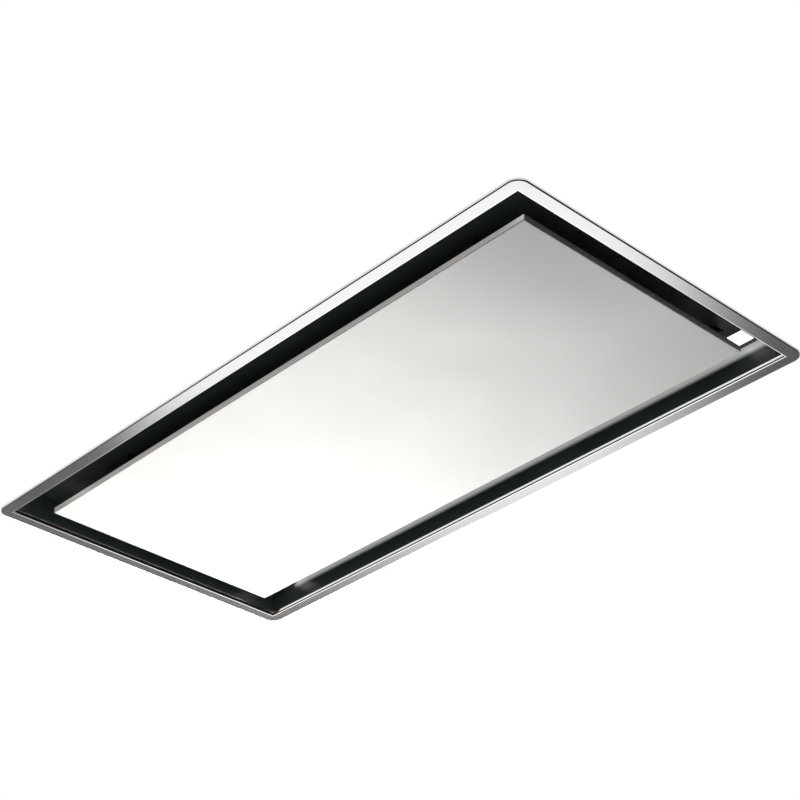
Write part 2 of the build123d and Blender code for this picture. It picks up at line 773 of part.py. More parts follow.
for side, sx in SIDES:
    with BuildPart() as catch_holder:
        with BuildSketch(Plane.XY.offset(plate_under)):
            with Locations((sx * catch_x, catch_y)):
                Rectangle(catch_length, catch_width)
        extrude(amount=-(plate_under - magnet_under - catch_cap))
        with BuildSketch(Plane.XY.offset(magnet_under)):
            with Locations((sx * catch_x, catch_y)):
                Rectangle(magnet_length, magnet_width)
        extrude(amount=magnet_height, mode=Mode.SUBTRACT)
    keep(catch_holder, f"catch_holder_{side}")


# ---------------------------------------------------------------- blower
blower_plane = Plane.YZ
half_inner = volute_width / 2
half_outer = half_inner + volute_wall
outlet_right = volute_step + volute_base + 2 * volute_step
isolator_length = motor_front + motor_length - half_outer


def on_arc(centre, radius, angle):
    """Point on a circle in the blower's plane, measured from the wheel's axis."""
    return (
        blower_y + centre[0] + radius * cos(radians(angle)),
        blower_height + centre[1] + radius * sin(radians(angle)),
    )


def volute_outline(grow):
    """Outline of the volute: three arcs of growing radius, then the straight outlet."""
    first, second, third = (volute_base + n * volute_step + grow for n in range(3))
    centres = ((0, 0), (volute_step, 0), (volute_step, volute_step))
    tongue_y = outlet_right - volute_outlet - grow
    tongue_z = sqrt(first**2 - tongue_y**2)
    tongue = (blower_y + tongue_y, blower_height + tongue_z)
    top_left = (blower_y + tongue_y, ceiling_under)
    top_right = (blower_y + outlet_right + grow, ceiling_under)
    with BuildLine() as outline:
        ThreePointArc(tongue, on_arc(centres[0], first, 130), on_arc(centres[0], first, 180))
        ThreePointArc(*[on_arc(centres[1], second, a) for a in (180, 225, 270)])
        ThreePointArc(*[on_arc(centres[2], third, a) for a in (270, 315, 360)])
        Polyline(on_arc(centres[2], third, 360), top_right, top_left, tongue)
    return outline.edges()


lugs_at = [
    on_arc((0, 0), volute_base + volute_wall + lug_offset, 135),
    on_arc((volute_step, 0), volute_base + volute_step + volute_wall + lug_offset, 225),
    on_arc((volute_step, volute_step), volute_base + 2 * volute_step + volute_wall + lug_offset, 315),
    (blower_y + outlet_right + volute_wall + lug_offset, blower_height + neck_lug_height),
]
isolators_at = [on_arc((0, 0), isolator_circle, a) for a in bracket_angles]
for side, sx in SIDES:
    with BuildPart() as scroll_half:
        with BuildSketch(blower_plane):
            make_face(volute_outline(volute_wall))
        extrude(amount=sx * half_outer)
        # flange under the casing's top
        with BuildSketch(Plane.XY.offset(ceiling_under)):
            with Locations((0, spigot_centre[1])):
                Rectangle(
                    half_outer + throat_flange,
                    volute_outlet + 2 * volute_wall,
                    align=(Align.MIN if sx > 0 else Align.MAX, Align.CENTER),
                )
        extrude(amount=-throat_flange_sheet)
        # joining lugs
        with BuildSketch(blower_plane):
            with Locations(*lugs_at):
                RegularPolygon(lug_radius, 6)
        extrude(amount=sx * lug_depth)
        with BuildSketch(blower_plane):
            make_face(volute_outline(0.0))
        extrude(amount=sx * half_inner, mode=Mode.SUBTRACT)
        # air inlet
        with BuildSketch(blower_plane.offset(sx * half_inner)):
            with Locations(on_arc((0, 0), 0, 0)):
                Circle(inlet_radius)
        extrude(amount=sx * volute_wall, mode=Mode.SUBTRACT)
    keep(scroll_half, f"scroll_{side}")

hub_front = motor_front - hub_motor_gap - hub_length
blade_root = wheel_radius - blade_depth
wheel_sides = 2 * blade_count
blade_tip = wheel_radius - blade_tip_inset
with BuildSketch() as blade_section:
    with BuildLine():
        blade_line = [
            (blade_root + share * (blade_tip - blade_root), blade_bow * bend)
            for share, bend in ((0.0, 0.0), (0.5, -0.45), (1.0, 0.5))
        ]
        Polyline(*blade_line, *[(r, y + blade_sheet) for r, y in reversed(blade_line)], close=True)
    make_face()

with BuildPart() as impeller:
    # hub, disc and the two end rings
    with BuildSketch(blower_plane.offset(hub_front)):
        with Locations(on_arc((0, 0), 0, 0)):
            Circle(hub_radius)
    extrude(amount=hub_length)
    with BuildSketch(blower_plane.offset(-wheel_disc / 2)):
        with Locations(on_arc((0, 0), 0, 0)):
            RegularPolygon(wheel_radius, wheel_sides)
    extrude(amount=wheel_disc)
    for ring_x in (-wheel_width / 2, wheel_width / 2 - wheel_ring):
        with BuildSketch(blower_plane.offset(ring_x)):
            with Locations(on_arc((0, 0), 0, 0)):
                RegularPolygon(wheel_radius, wheel_sides)
                RegularPolygon(blade_root - wheel_ring_lap, wheel_sides, mode=Mode.SUBTRACT)
        extrude(amount=wheel_ring)
    # forward-curved blades
    with BuildSketch(blower_plane.offset(-wheel_width / 2)):
        with Locations(on_arc((0, 0), 0, 0)):
            with PolarLocations(0, blade_count):
                add(blade_section.sketch)
    extrude(amount=wheel_width)
    # bore
    with BuildSketch(blower_plane.offset(hub_front)):
        with Locations(on_arc((0, 0), 0, 0)):
            Circle(shaft_radius)
    extrude(amount=hub_length, mode=Mode.SUBTRACT)
keep(impeller, "impeller")

with BuildPart() as motor_housing:
    with BuildSketch(blower_plane.offset(motor_front)):
        with Locations(on_arc((0, 0), 0, 0)):
            Circle(motor_radius)
    extrude(amount=motor_length)
    # bore the shaft runs in
    with BuildSketch(blower_plane.offset(motor_front)):
        with Locations(on_arc((0, 0), 0, 0)):
            Circle(shaft_radius + shaft_running)
    extrude(amount=shaft_depth, mode=Mode.SUBTRACT)
keep(motor_housing, "motor_housing")

shaft_start = hub_front - shaft_nose
with BuildPart() as motor_shaft:
    with BuildSketch(blower_plane.offset(shaft_start)):
        with Locations(on_arc((0, 0), 0, 0)):
            Circle(shaft_radius)
    extrude(amount=motor_front + shaft_depth - shaft_tail - shaft_start)
keep(motor_shaft, "motor_shaft")

with BuildPart() as motor_bracket:
    with BuildSketch(blower_plane.offset(motor_front + motor_length)):
        with Locations(on_arc((0, 0), 0, 0)):
            Circle(bracket_ring)
            for angle in bracket_angles:
                with Locations(Location((0, 0), angle)):
                    Rectangle(
                        isolator_circle + bracket_arm / 2,
                        bracket_arm,
                        align=(Align.MIN, Align.CENTER),
                    )
            Circle(bracket_hole, mode=Mode.SUBTRACT)
    extrude(amount=bracket_sheet)
keep(motor_bracket, "motor_bracket")

with BuildPart() as motor_isolators:
    with BuildSketch(blower_plane.offset(half_outer)):
        with Locations(*isolators_at):
            Circle(isolator_radius)
    extrude(amount=isolator_length)
keep(motor_isolators, "motor_isolators")

# ---------------------------------------------------------------- outlet spigot and flaps
neck_inner = spigot_radius - spigot_wall
ledge_top = casing_top + spigot_base_sheet + spigot_ledge_sheet
spigot_top = casing_top + spigot_height
pin_z = casing_top + flap_pin_height
with BuildPart() as outlet_spigot:
    with BuildSketch(Plane.XY.offset(casing_top)):
        with Locations(spigot_centre):
            RectangleRounded(spigot_base, spigot_base, spigot_corner)
    extrude(amount=spigot_base_sheet)
    with BuildSketch(Plane.XY.offset(casing_top)):
        with Locations(spigot_centre):
            Circle(spigot_radius)
    extrude(amount=spigot_height)
    with BuildSketch(Plane.XY.offset(ledge_top)):
        with Locations(spigot_centre):
            Circle(neck_inner)
    extrude(amount=spigot_top - ledge_top, mode=Mode.SUBTRACT)
    with BuildSketch(Plane.XY.offset(casing_top)):
        with Locations(spigot_centre):
            Circle(throat_radius)
    extrude(amount=ledge_top - casing_top, mode=Mode.SUBTRACT)
keep(outlet_spigot, "outlet_spigot")

with BuildPart() as flap_pin:
    pin_reach = neck_inner - flap_pin_inset
    with BuildSketch(Plane.YZ.offset(-pin_reach)):
        with Locations((spigot_centre[1], pin_z)):
            Circle(flap_pin_radius)
    extrude(amount=2 * pin_reach)
keep(flap_pin, "flap_pin")

knuckle_pitch = flap_knuckle_length + flap_knuckle_gap
knuckles = {1: (0.0,), -1: (-knuckle_pitch, knuckle_pitch)}
flap_radius = neck_inner - flap_edge_gap
for name, sy in (("flap_front", -1), ("flap_back", 1)):
    with BuildPart() as flap:
        with BuildSketch(Plane.XY.offset(ledge_top + flap_rest_gap)):
            with Locations(spigot_centre):
                Circle(flap_radius)
            with Locations((0, spigot_centre[1] + sy * flap_knuckle_gap / 2)):
                Rectangle(
                    2 * flap_radius,
                    2 * flap_radius,
                    align=(Align.CENTER, Align.MAX if sy > 0 else Align.MIN),
                    mode=Mode.SUBTRACT,
                )
            # relief round the other flap's knuckles
            with Locations(*[(x, spigot_centre[1]) for x in knuckles[-sy]]):
                Rectangle(
                    flap_knuckle_length + 2 * flap_knuckle_gap,
                    2 * (flap_knuckle + flap_relief),
                    mode=Mode.SUBTRACT,
                )
            with Locations(*[(x, spigot_centre[1]) for x in knuckles[sy]]):
                Rectangle(flap_knuckle_length, flap_knuckle + flap_relief)
        extrude(amount=flap_sheet)
        for x in knuckles[sy]:
            with BuildSketch(Plane.YZ.offset(x - flap_knuckle_length / 2)):
                with Locations((spigot_centre[1], pin_z)):
                    Circle(flap_knuckle)
                    Circle(flap_pin_radius + hinge_running, mode=Mode.SUBTRACT)
            extrude(amount=flap_knuckle_length)
    keep(flap, name)

# ---------------------------------------------------------------- hanging rails
for side, sx in SIDES:
    with BuildPart() as hanger:
        with BuildSketch(Plane.XZ.offset(-hanger_length / 2)):
            with Locations((sx * hanger_x, casing_top)):
                Rectangle(hanger_width + 2 * hanger_foot, hanger_sheet, align=(Align.CENTER, Align.MIN))
                Rectangle(hanger_width, hanger_height, align=(Align.CENTER, Align.MIN))
                Rectangle(
                    hanger_width - 2 * hanger_sheet,
                    hanger_height - hanger_sheet,
                    align=(Align.CENTER, Align.MIN),
                    mode=Mode.SUBTRACT,
                )
        extrude(amount=hanger_length)
        with BuildSketch(Plane.XY.offset(casing_top)):
            with Locations((sx * hanger_x, rod_y), (sx * hanger_x, -rod_y)):
                Circle(rod_hole_radius)
        extrude(amount=hanger_height, mode=Mode.SUBTRACT)
    keep(hanger, f"hanging_rail_{side}")

# ---------------------------------------------------------------- control box
box_top = casing_top + box_height
lid_posts_at = [
    (box_centre_x + sx * (box_length / 2 - box_screw_inset), sy * (box_width / 2 - box_screw_inset))
    for sx in (-1, 1)
    for sy in (-1, 1)
]
gland_z = casing_top + gland_height
gland_x = box_centre_x + box_length / 2
board_z = casing_top + box_wall + board_stand
board_x = box_centre_x - board_offset
board_posts_at = [
    (board_x + sx * (board_length / 2 - board_post_insets[0]), sy * (board_width / 2 - board_post_insets[1]))
    for sx in (-1, 1)
    for sy in (-1, 1)
]
with BuildPart() as control_box:
    with BuildSketch(Plane.XY.offset(casing_top)):
        with Locations((box_centre_x, 0)):
            RectangleRounded(box_length, box_width, box_corner)
    extrude(amount=box_height)
    with BuildSketch(Plane.XY.offset(casing_top + box_wall)):
        with Locations((box_centre_x, 0)):
            Rectangle(box_length - 2 * box_wall, box_width - 2 * box_wall)
    extrude(amount=box_height - box_wall, mode=Mode.SUBTRACT)
    # corner posts for the lid's screws
    with BuildSketch(Plane.XY.offset(casing_top + box_wall)):
        with Locations(*lid_posts_at):
            Rectangle(2 * box_post, 2 * box_post)
    extrude(amount=box_height - box_wall)
    # posts under the circuit board
    with BuildSketch(Plane.XY.offset(casing_top + box_wall)):
        with Locations(*board_posts_at):
            Rectangle(2 * board_post_half, 2 * board_post_half)
    extrude(amount=board_stand)
    # wire hole down into the casing, cable hole in the end wall
    with BuildSketch(Plane.XY.offset(casing_top)):
        with Locations(wire_hole):
            Circle(gland_radius)
    extrude(amount=box_wall, mode=Mode.SUBTRACT)
    with BuildSketch(Plane.YZ.offset(gland_x - box_wall)):
        with Locations((0, gland_z)):
            Circle(gland_radius)
    extrude(amount=box_wall, mode=Mode.SUBTRACT)
keep(control_box, "control_box")

with BuildPart() as control_box_lid:
    with BuildSketch(Plane.XY.offset(box_top)):
        with Locations((box_centre_x, 0)):
            RectangleRounded(box_length, box_width, box_corner)
    extrude(amount=box_lid_sheet)
keep(control_box_lid, "control_box_lid")

with BuildPart() as circuit_board:
    with BuildSketch(Plane.XY.offset(board_z)):
        with Locations((board_x, 0)):
            Rectangle(board_length, board_width)
    extrude(amount=board_sheet)
keep(circuit_board, "circuit_board")

component_z = board_z + board_sheet
with BuildPart() as terminal_block:
    with BuildSketch(Plane.XY.offset(component_z)):
        with Locations((board_x + terminal_x, 0)):
            Rectangle(terminal_size[0], terminal_size[1])
    extrude(amount=terminal_size[2])
    with BuildSketch(Plane.XY.offset(component_z + terminal_size[2])):
        with Locations((board_x + terminal_x, 0)):
            with GridLocations(0, terminal_pitch, 1, 5):
                Rectangle(2 * terminal_hole[0], 2 * terminal_hole[0])
    extrude(amount=-terminal_hole[1], mode=Mode.SUBTRACT)
keep(terminal_block, "terminal_block")

with BuildPart() as run_capacitor:
    with BuildSketch(Plane.XZ.offset(-capacitor_at[1])):
        with Locations((board_x + capacitor_at[0], component_z + capacitor_radius)):
            Circle(capacitor_radius)
    extrude(amount=-capacitor_length)
keep(run_capacitor, "run_capacitor")

with BuildPart() as lamp_driver:
    with BuildSketch(Plane.XY.offset(component_z)):
        with Locations((board_x + driver_at[0], driver_at[1])):
            Rectangle(driver_size[0], driver_size[1])
    extrude(amount=driver_size[2])
    chamfer(lamp_driver.faces().sort_by(Axis.Z)[-1].edges(), length=driver_chamfer)
keep(lamp_driver, "lamp_driver")

with BuildPart() as cable_gland:
    with BuildSketch(Plane.YZ.offset(gland_x - box_wall)):
        with Locations((0, gland_z)):
            Circle(gland_radius)
    extrude(amount=box_wall)
    for start, reach in ((gland_x, gland_flange), (gland_x - box_wall, -gland_nut_length)):
        with BuildSketch(Plane.YZ.offset(start)):
            with Locations((0, gland_z)):
                RegularPolygon(gland_nut, 6)
        extrude(amount=reach)
    with BuildSketch(Plane.YZ.offset(gland_x + gland_flange)):
        with Locations((0, gland_z)):
            RegularPolygon(gland_dome, gland_flutes)
    extrude(amount=gland_length - gland_flange)
    with BuildSketch(Plane.YZ.offset(gland_x - box_wall - gland_nut_length)):
        with Locations((0, gland_z)):
            Circle(gland_bore)
    extrude(amount=gland_length + box_wall + gland_nut_length, mode=Mode.SUBTRACT)
keep(cable_gland, "cable_gland")
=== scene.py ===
"""Looks of a ceiling range hood: finishes, fine shapes, camera and studio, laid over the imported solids."""

import json
import logging
import math
from dataclasses import dataclass, field
from enum import Enum
from typing import Iterable, Sequence

import bmesh
import bpy
from mathutils import Matrix, Vector

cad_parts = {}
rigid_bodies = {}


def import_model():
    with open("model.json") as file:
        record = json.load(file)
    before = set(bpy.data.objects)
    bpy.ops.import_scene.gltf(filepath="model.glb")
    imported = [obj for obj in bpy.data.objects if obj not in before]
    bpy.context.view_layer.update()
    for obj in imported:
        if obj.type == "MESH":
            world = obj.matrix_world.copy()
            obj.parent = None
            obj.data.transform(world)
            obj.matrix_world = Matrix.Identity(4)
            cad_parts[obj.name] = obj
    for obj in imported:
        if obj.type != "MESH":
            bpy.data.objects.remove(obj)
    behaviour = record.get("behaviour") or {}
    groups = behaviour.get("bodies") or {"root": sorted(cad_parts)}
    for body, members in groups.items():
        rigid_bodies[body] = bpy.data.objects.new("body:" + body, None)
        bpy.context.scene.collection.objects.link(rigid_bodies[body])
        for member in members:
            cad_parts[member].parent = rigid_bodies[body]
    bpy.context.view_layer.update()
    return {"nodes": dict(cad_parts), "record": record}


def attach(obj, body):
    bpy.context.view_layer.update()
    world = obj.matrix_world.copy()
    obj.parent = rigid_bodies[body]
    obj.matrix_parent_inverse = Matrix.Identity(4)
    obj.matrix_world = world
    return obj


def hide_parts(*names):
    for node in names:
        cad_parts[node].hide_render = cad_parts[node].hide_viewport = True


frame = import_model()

LOG = logging.getLogger("range_hood")
MM = 0.001
WHITE = (1.0, 1.0, 1.0, 1.0)
UP, DOWN, FORWARD = (0.0, 0.0, 1.0), (0.0, 0.0, -1.0), (1.0, 0.0, 0.0)
SIDES = (-1, 1)
Point = tuple[float, float]
Place = tuple[float, float, float]
Socket = bpy.types.NodeSocket
Object, Material, BMesh = bpy.types.Object, bpy.types.Material, bmesh.types.BMesh
NOISE_SPAN = (0.3, 0.7)  # where most of a noise lies


# ------------------------------------------------------------------ choices
class Body(Enum):
    """Rigid bodies of the hood that carry pieces of this script."""

    HOUSING = "housing"
    PANEL = "panel"
    ROTOR = "rotor"


class Head(Enum):
    """Kinds of fastener head, with the material slot of each."""

    RIVET = "rivet_aluminium"
    SCREW = "plated_steel"


# ------------------------------------------------------------------ node trees
class Tree:
    """A node tree while it is wired up."""

    def __init__(self, tree: bpy.types.NodeTree) -> None:
        """Take a tree and empty it.

        Args:
            tree: Tree that gets the nodes.
        """
        self.tree = tree
        tree.nodes.clear()

    def node(self, kind: str, inputs: dict | None = None, **settings: object) -> bpy.types.Node:
        """Add one node.

        Args:
            kind: Blender's type name of the node.
            inputs: Values or sockets for its inputs, by name or number.
            **settings: Attributes set on the node before its inputs.

        Returns:
            The new node.
        """
        made = self.tree.nodes.new(kind)
        for key, value in settings.items():
            setattr(made, key, value)
        for key, value in (inputs or {}).items():
            if isinstance(value, Socket):
                self.tree.links.new(value, made.inputs[key])
            else:
                made.inputs[key].default_value = value
        return made

    def out(self, kind: str, inputs: dict | None = None, port: int | str = 0, **settings: object) -> Socket:
        """Add one node and take one of its outputs."""
        return self.node(kind, inputs, **settings).outputs[port]

    def combined(self, operation: str, a: Socket | float, b: Socket | float) -> Socket:
        """Work out one number from two."""
        return self.out("ShaderNodeMath", {0: a, 1: b}, operation=operation)

    def mapped(self, value: Socket, span: Point, result: Sequence[Socket | float] = (0.0, 1.0),
               blend: str = "LINEAR") -> Socket:
        """Map a value from one range onto another."""
        ends = {0: value, 1: span[0], 2: span[1], 3: result[0], 4: result[1]}
        return self.out("ShaderNodeMapRange", ends, interpolation_type=blend)

    def direct_rays(self) -> Socket:
        """1 for camera, glossy and transmission rays, 0 for the rest.

        Returns:
            The number.
        """
        path = self.node("ShaderNodeLightPath").outputs
        glossy = self.combined("MAXIMUM", path["Is Camera Ray"], path["Is Glossy Ray"])
        return self.combined("MAXIMUM", glossy, path["Is Transmission Ray"])


class Wiring(Tree):
    """A material's node tree while it is wired up."""

    def __init__(self, name: str) -> None:
        """Start an empty material.

        Args:
            name: Name of the material.
        """
        self.material = bpy.data.materials.new(name)
        self.material.use_nodes = True
        super().__init__(self.material.node_tree)
        self.place = self.out("ShaderNodeTexCoord", port="Object")

    def noise(self, scale: float, detail: float = 3.0, stretch: Sequence[float] = (1, 1, 1)) -> Socket:
        """Noise on object coordinates."""
        vector = self.out("ShaderNodeMapping", {"Vector": self.place, "Scale": tuple(stretch)})
        return self.out("ShaderNodeTexNoise", {"Vector": vector, "Scale": scale, "Detail": detail})

    def spread(self, value: Socket, middle: float, below: float, above: float) -> Socket:
        """Let a number vary with a noise."""
        return self.mapped(value, NOISE_SPAN, (middle + below, middle + above))

    def shades(self, value: Socket, stops: Sequence[tuple[float, Sequence[float]]]) -> Socket:
        """Colour ramp.

        Args:
            value: Socket that drives it.
            stops: Places and colours.

        Returns:
            The ramp's colour.
        """
        ramp = self.node("ShaderNodeValToRGB", {0: value})
        marks = ramp.color_ramp.elements
        while len(marks) < len(stops):
            marks.new(0.5)
        for mark, (place, colour) in zip(marks, stops):
            mark.position = place
            mark.color = (*colour, 1.0)
        return ramp.outputs[0]

    def bump(self, height: Socket, depth: float, strength: float) -> Socket:
        """Bump from a height."""
        return self.out("ShaderNodeBump", {"Height": height, "Distance": depth, "Strength": strength})

    def output(self, surface: Socket) -> Material:
        """End the tree."""
        self.node("ShaderNodeOutputMaterial", {"Surface": surface})
        return self.material

    def surface(self, inputs: dict) -> Material:
        """End the tree in one principled surface."""
        return self.output(self.out("ShaderNodeBsdfPrincipled", inputs))


# ------------------------------------------------------------------ finishes
@dataclass(frozen=True)
class Finish:
    """What every finish has: the record's slot, a colour and a roughness."""

    slot: str
    colour: Place
    roughness: float = 0.5

    def build(self) -> Material:
        """Make the material."""
        w = Wiring(self.slot)
        return w.surface(self.inputs(w))

    def inputs(self, w: Wiring) -> dict:
        """Surface inputs; each kind of finish has its own.

        Args:
            w: The material's tree.

        Returns:
            Values or sockets, by input name.
        """
        raise NotImplementedError

    def tinted(self, w: Wiring, value: Socket, tints: Sequence[Point]) -> Socket:
        """The finish's colour, lighter and darker."""
        stops = [(place, [min(1.0, c * factor) for c in self.colour]) for place, factor in tints]
        return w.shades(value, stops)


@dataclass(frozen=True)
class BrushedSteel(Finish):
    """Stainless steel with a fine grain and faint smudges, with an optional painted shade that darkens the
    colour round one spot and an optional painted glow in the emission. Metres, the shaded spot in
    millimetres.
    """

    grain: Place = (0.012, 1.0, 1.0)
    grain_scale: float = 2600.0
    grain_depth: float = 0.000002
    smudge: float = 0.02
    glow: float = 0.0
    painted_shade_spot: Place | None = None
    painted_shade_reach: float = 250.0
    painted_shade_tone: float = 0.72

    def inputs(self, w: Wiring) -> dict:
        """Grain in the relief, smudges in the gloss, drift in the colour, painted shade round the spot and a
        painted glow.

        Args:
            w: The material's tree.

        Returns:
            Values or sockets, by input name.
        """
        lines = w.noise(self.grain_scale, 4.0, self.grain)
        tone = self.tinted(w, w.noise(3.0), ((0.3, 0.97), (0.7, 1.03)))
        # painted shade: the colour darkens towards this spot, standing in for a dimmer reflection there
        if self.painted_shade_spot:
            spot = tuple(c * MM for c in self.painted_shade_spot)
            away = w.out("ShaderNodeVectorMath", {0: w.place, 1: spot}, "Value", operation="DISTANCE")
            share = w.mapped(away, (0.0, self.painted_shade_reach * MM), (self.painted_shade_tone, 1.0))
            tone = w.out("ShaderNodeVectorMath", {0: tone, "Scale": share}, operation="SCALE")
        smudges = w.spread(w.noise(7.0, 2.0), 0.0, -self.smudge, self.smudge)
        return {
            "Base Color": tone,
            "Metallic": 1.0,
            "Roughness": w.combined("ADD", w.spread(lines, self.roughness, -0.03, 0.03), smudges),
            "Normal": w.bump(lines, self.grain_depth, 0.6),
            # painted glow: emission in the steel's own colour stands in for light on the faces that use it
            "Emission Color": (*self.colour, 1.0),
            "Emission Strength": self.glow,
        }


@dataclass(frozen=True)
class Galvanised(Finish):
    """Zinc-coated sheet: crystals of differing tone, dulled by handling."""

    spangle: float = 90.0
    wobble: float = 0.006

    def inputs(self, w: Wiring) -> dict:
        """Crystals with bent edges, each with its own tone and gloss, under a cloudy film.

        Args:
            w: The material's tree.

        Returns:
            Values or sockets, by input name.
        """
        noise = w.out("ShaderNodeTexNoise", {"Vector": w.place, "Scale": 160.0, "Detail": 2.0}, 1)
        shift = w.out("ShaderNodeVectorMath", {0: noise, "Scale": self.wobble}, operation="SCALE")
        bent = w.out("ShaderNodeVectorMath", {0: w.place, 1: shift}, operation="ADD")
        cells = w.out("ShaderNodeTexVoronoi", {"Vector": bent, "Scale": self.spangle}, "Color")
        grey = w.out("ShaderNodeSeparateColor", {0: cells})
        film = w.spread(w.noise(9.0, 5.0), 0.0, -0.03, 0.04)
        return {
            "Base Color": self.tinted(w, grey, ((0.0, 0.93), (0.55, 1.0), (1.0, 1.06))),
            "Metallic": 1.0,
            "Roughness": w.combined("ADD", w.spread(grey, self.roughness, -0.04, 0.04), film),
            "Normal": w.bump(grey, 0.000004, 0.2),
        }


@dataclass(frozen=True)
class Moulded(Finish):
    """Moulded plastic or rubber: an eroded skin in the relief, a cloudy film in the tone and the gloss.

    Skin and film are each held as cells per metre and octaves, tints as places along the film and factors.
    """

    skin: Point = (1500.0, 3.0)
    depth: float = 0.00002
    relief: float = 0.6
    film: Point = (18.0, 3.0)
    tints: tuple[Point, Point] = ((0.3, 0.94), (0.7, 1.08))
    dulling: Point = (-0.05, 0.05)
    metallic: float = 0.0

    def inputs(self, w: Wiring) -> dict:
        """Skin in the relief, film in the colour and the gloss.

        Args:
            w: The material's tree.

        Returns:
            Values or sockets, by input name.
        """
        film = w.noise(*self.film)
        return {
            "Base Color": self.tinted(w, film, self.tints),
            "Metallic": self.metallic,
            "Roughness": w.spread(film, self.roughness, *self.dulling),
            "Normal": w.bump(w.noise(*self.skin), self.depth, self.relief),
        }


@dataclass(frozen=True)
class BareMetal(Moulded):
    """Cast, drawn or plated metal with a fine irregular skin."""

    skin: Point = (700.0, 4.0)
    relief: float = 0.5
    film: Point = (35.0, 3.0)
    tints: tuple[Point, Point] = ((0.3, 0.92), (0.7, 1.06))
    dulling: Point = (-0.06, 0.08)
    metallic: float = 1.0


@dataclass(frozen=True)
class Enamel(Moulded):
    """Satin coating on sheet, with the slight waviness of sprayed paint."""

    skin: Point = (420.0, 2.0)
    depth: float = 0.00003
    relief: float = 0.5
    film: Point = (14.0, 5.0)
    tints: tuple[Point, Point] = ((0.3, 1.0), (0.75, 1.25))
    dulling: Point = (-0.05, 0.06)


@dataclass(frozen=True)
class SheenPaintedEnamel(Enamel):
    """Sprayed coating with a painted sheen: a pale band painted into the colour and the emission along the
    top of a wall, standing in for the reflection of the lit plate above it. Millimetres.
    """

    band_rise: Point = (26.0, 35.0)
    band_start: Point = (-436.0, -422.0)
    painted_sheen_tone: Place = (0.40, 0.40, 0.41)
    sheen: float = 0.75

    def inputs(self, w: Wiring) -> dict:
        """The coating's inputs with the painted sheen band over them.

        Args:
            w: The material's tree.

        Returns:
            Values or sockets, by input name.
        """
        found = super().inputs(w)
        axes = w.node("ShaderNodeSeparateXYZ", {0: w.place}).outputs
        ends = ((axes[2], self.band_rise), (axes[0], self.band_start))
        rise, start = (w.mapped(axis, (a * MM, b * MM), blend="SMOOTHSTEP") for axis, (a, b) in ends)
        # painted reflection: the pale band is mixed into the colour and glows in the emission
        share = w.combined("MULTIPLY", rise, start)
        tone = (*self.painted_sheen_tone, 1.0)
        mix = {0: share, 6: found["Base Color"], 7: tone}
        found["Base Color"] = w.out("ShaderNodeMix", mix, 2, data_type="RGBA")
        found["Emission Color"] = tone
        found["Emission Strength"] = w.combined("MULTIPLY", share, self.sheen)
        return found


@dataclass(frozen=True)
class Diffuser(Finish):
    """Opal lamp cover, lit from behind."""

    glow: float = 1.3

    def inputs(self, w: Wiring) -> dict:
        """A faint haze in the colour, the gloss and the light.

        Args:
            w: The material's tree.

        Returns:
            Values or sockets, by input name.
        """
        haze = w.noise(260.0, 2.0)
        tone = self.tinted(w, haze, ((0.3, 0.96), (0.7, 1.0)))
        return {
            "Base Color": tone,
            "Roughness": w.spread(haze, self.roughness, -0.03, 0.03),
            "Emission Color": tone,
            "Emission Strength": self.glow,
        }


@dataclass(frozen=True)
class Foam(Finish):
    """Closed-cell foam strip."""

    cells: float = 1300.0

    def inputs(self, w: Wiring) -> dict:
        """Cells in the colour, the gloss and the relief.

        Args:
            w: The material's tree.

        Returns:
            Values or sockets, by input name.
        """
        cells = w.out("ShaderNodeTexVoronoi", {"Vector": w.place, "Scale": self.cells}, "Distance")
        return {
            "Base Color": self.tinted(w, cells, ((0.0, 0.86), (0.6, 1.0))),
            "Roughness": w.spread(cells, self.roughness, -0.04, 0.04),
            "Normal": w.bump(cells, 0.0002, 0.8),
        }


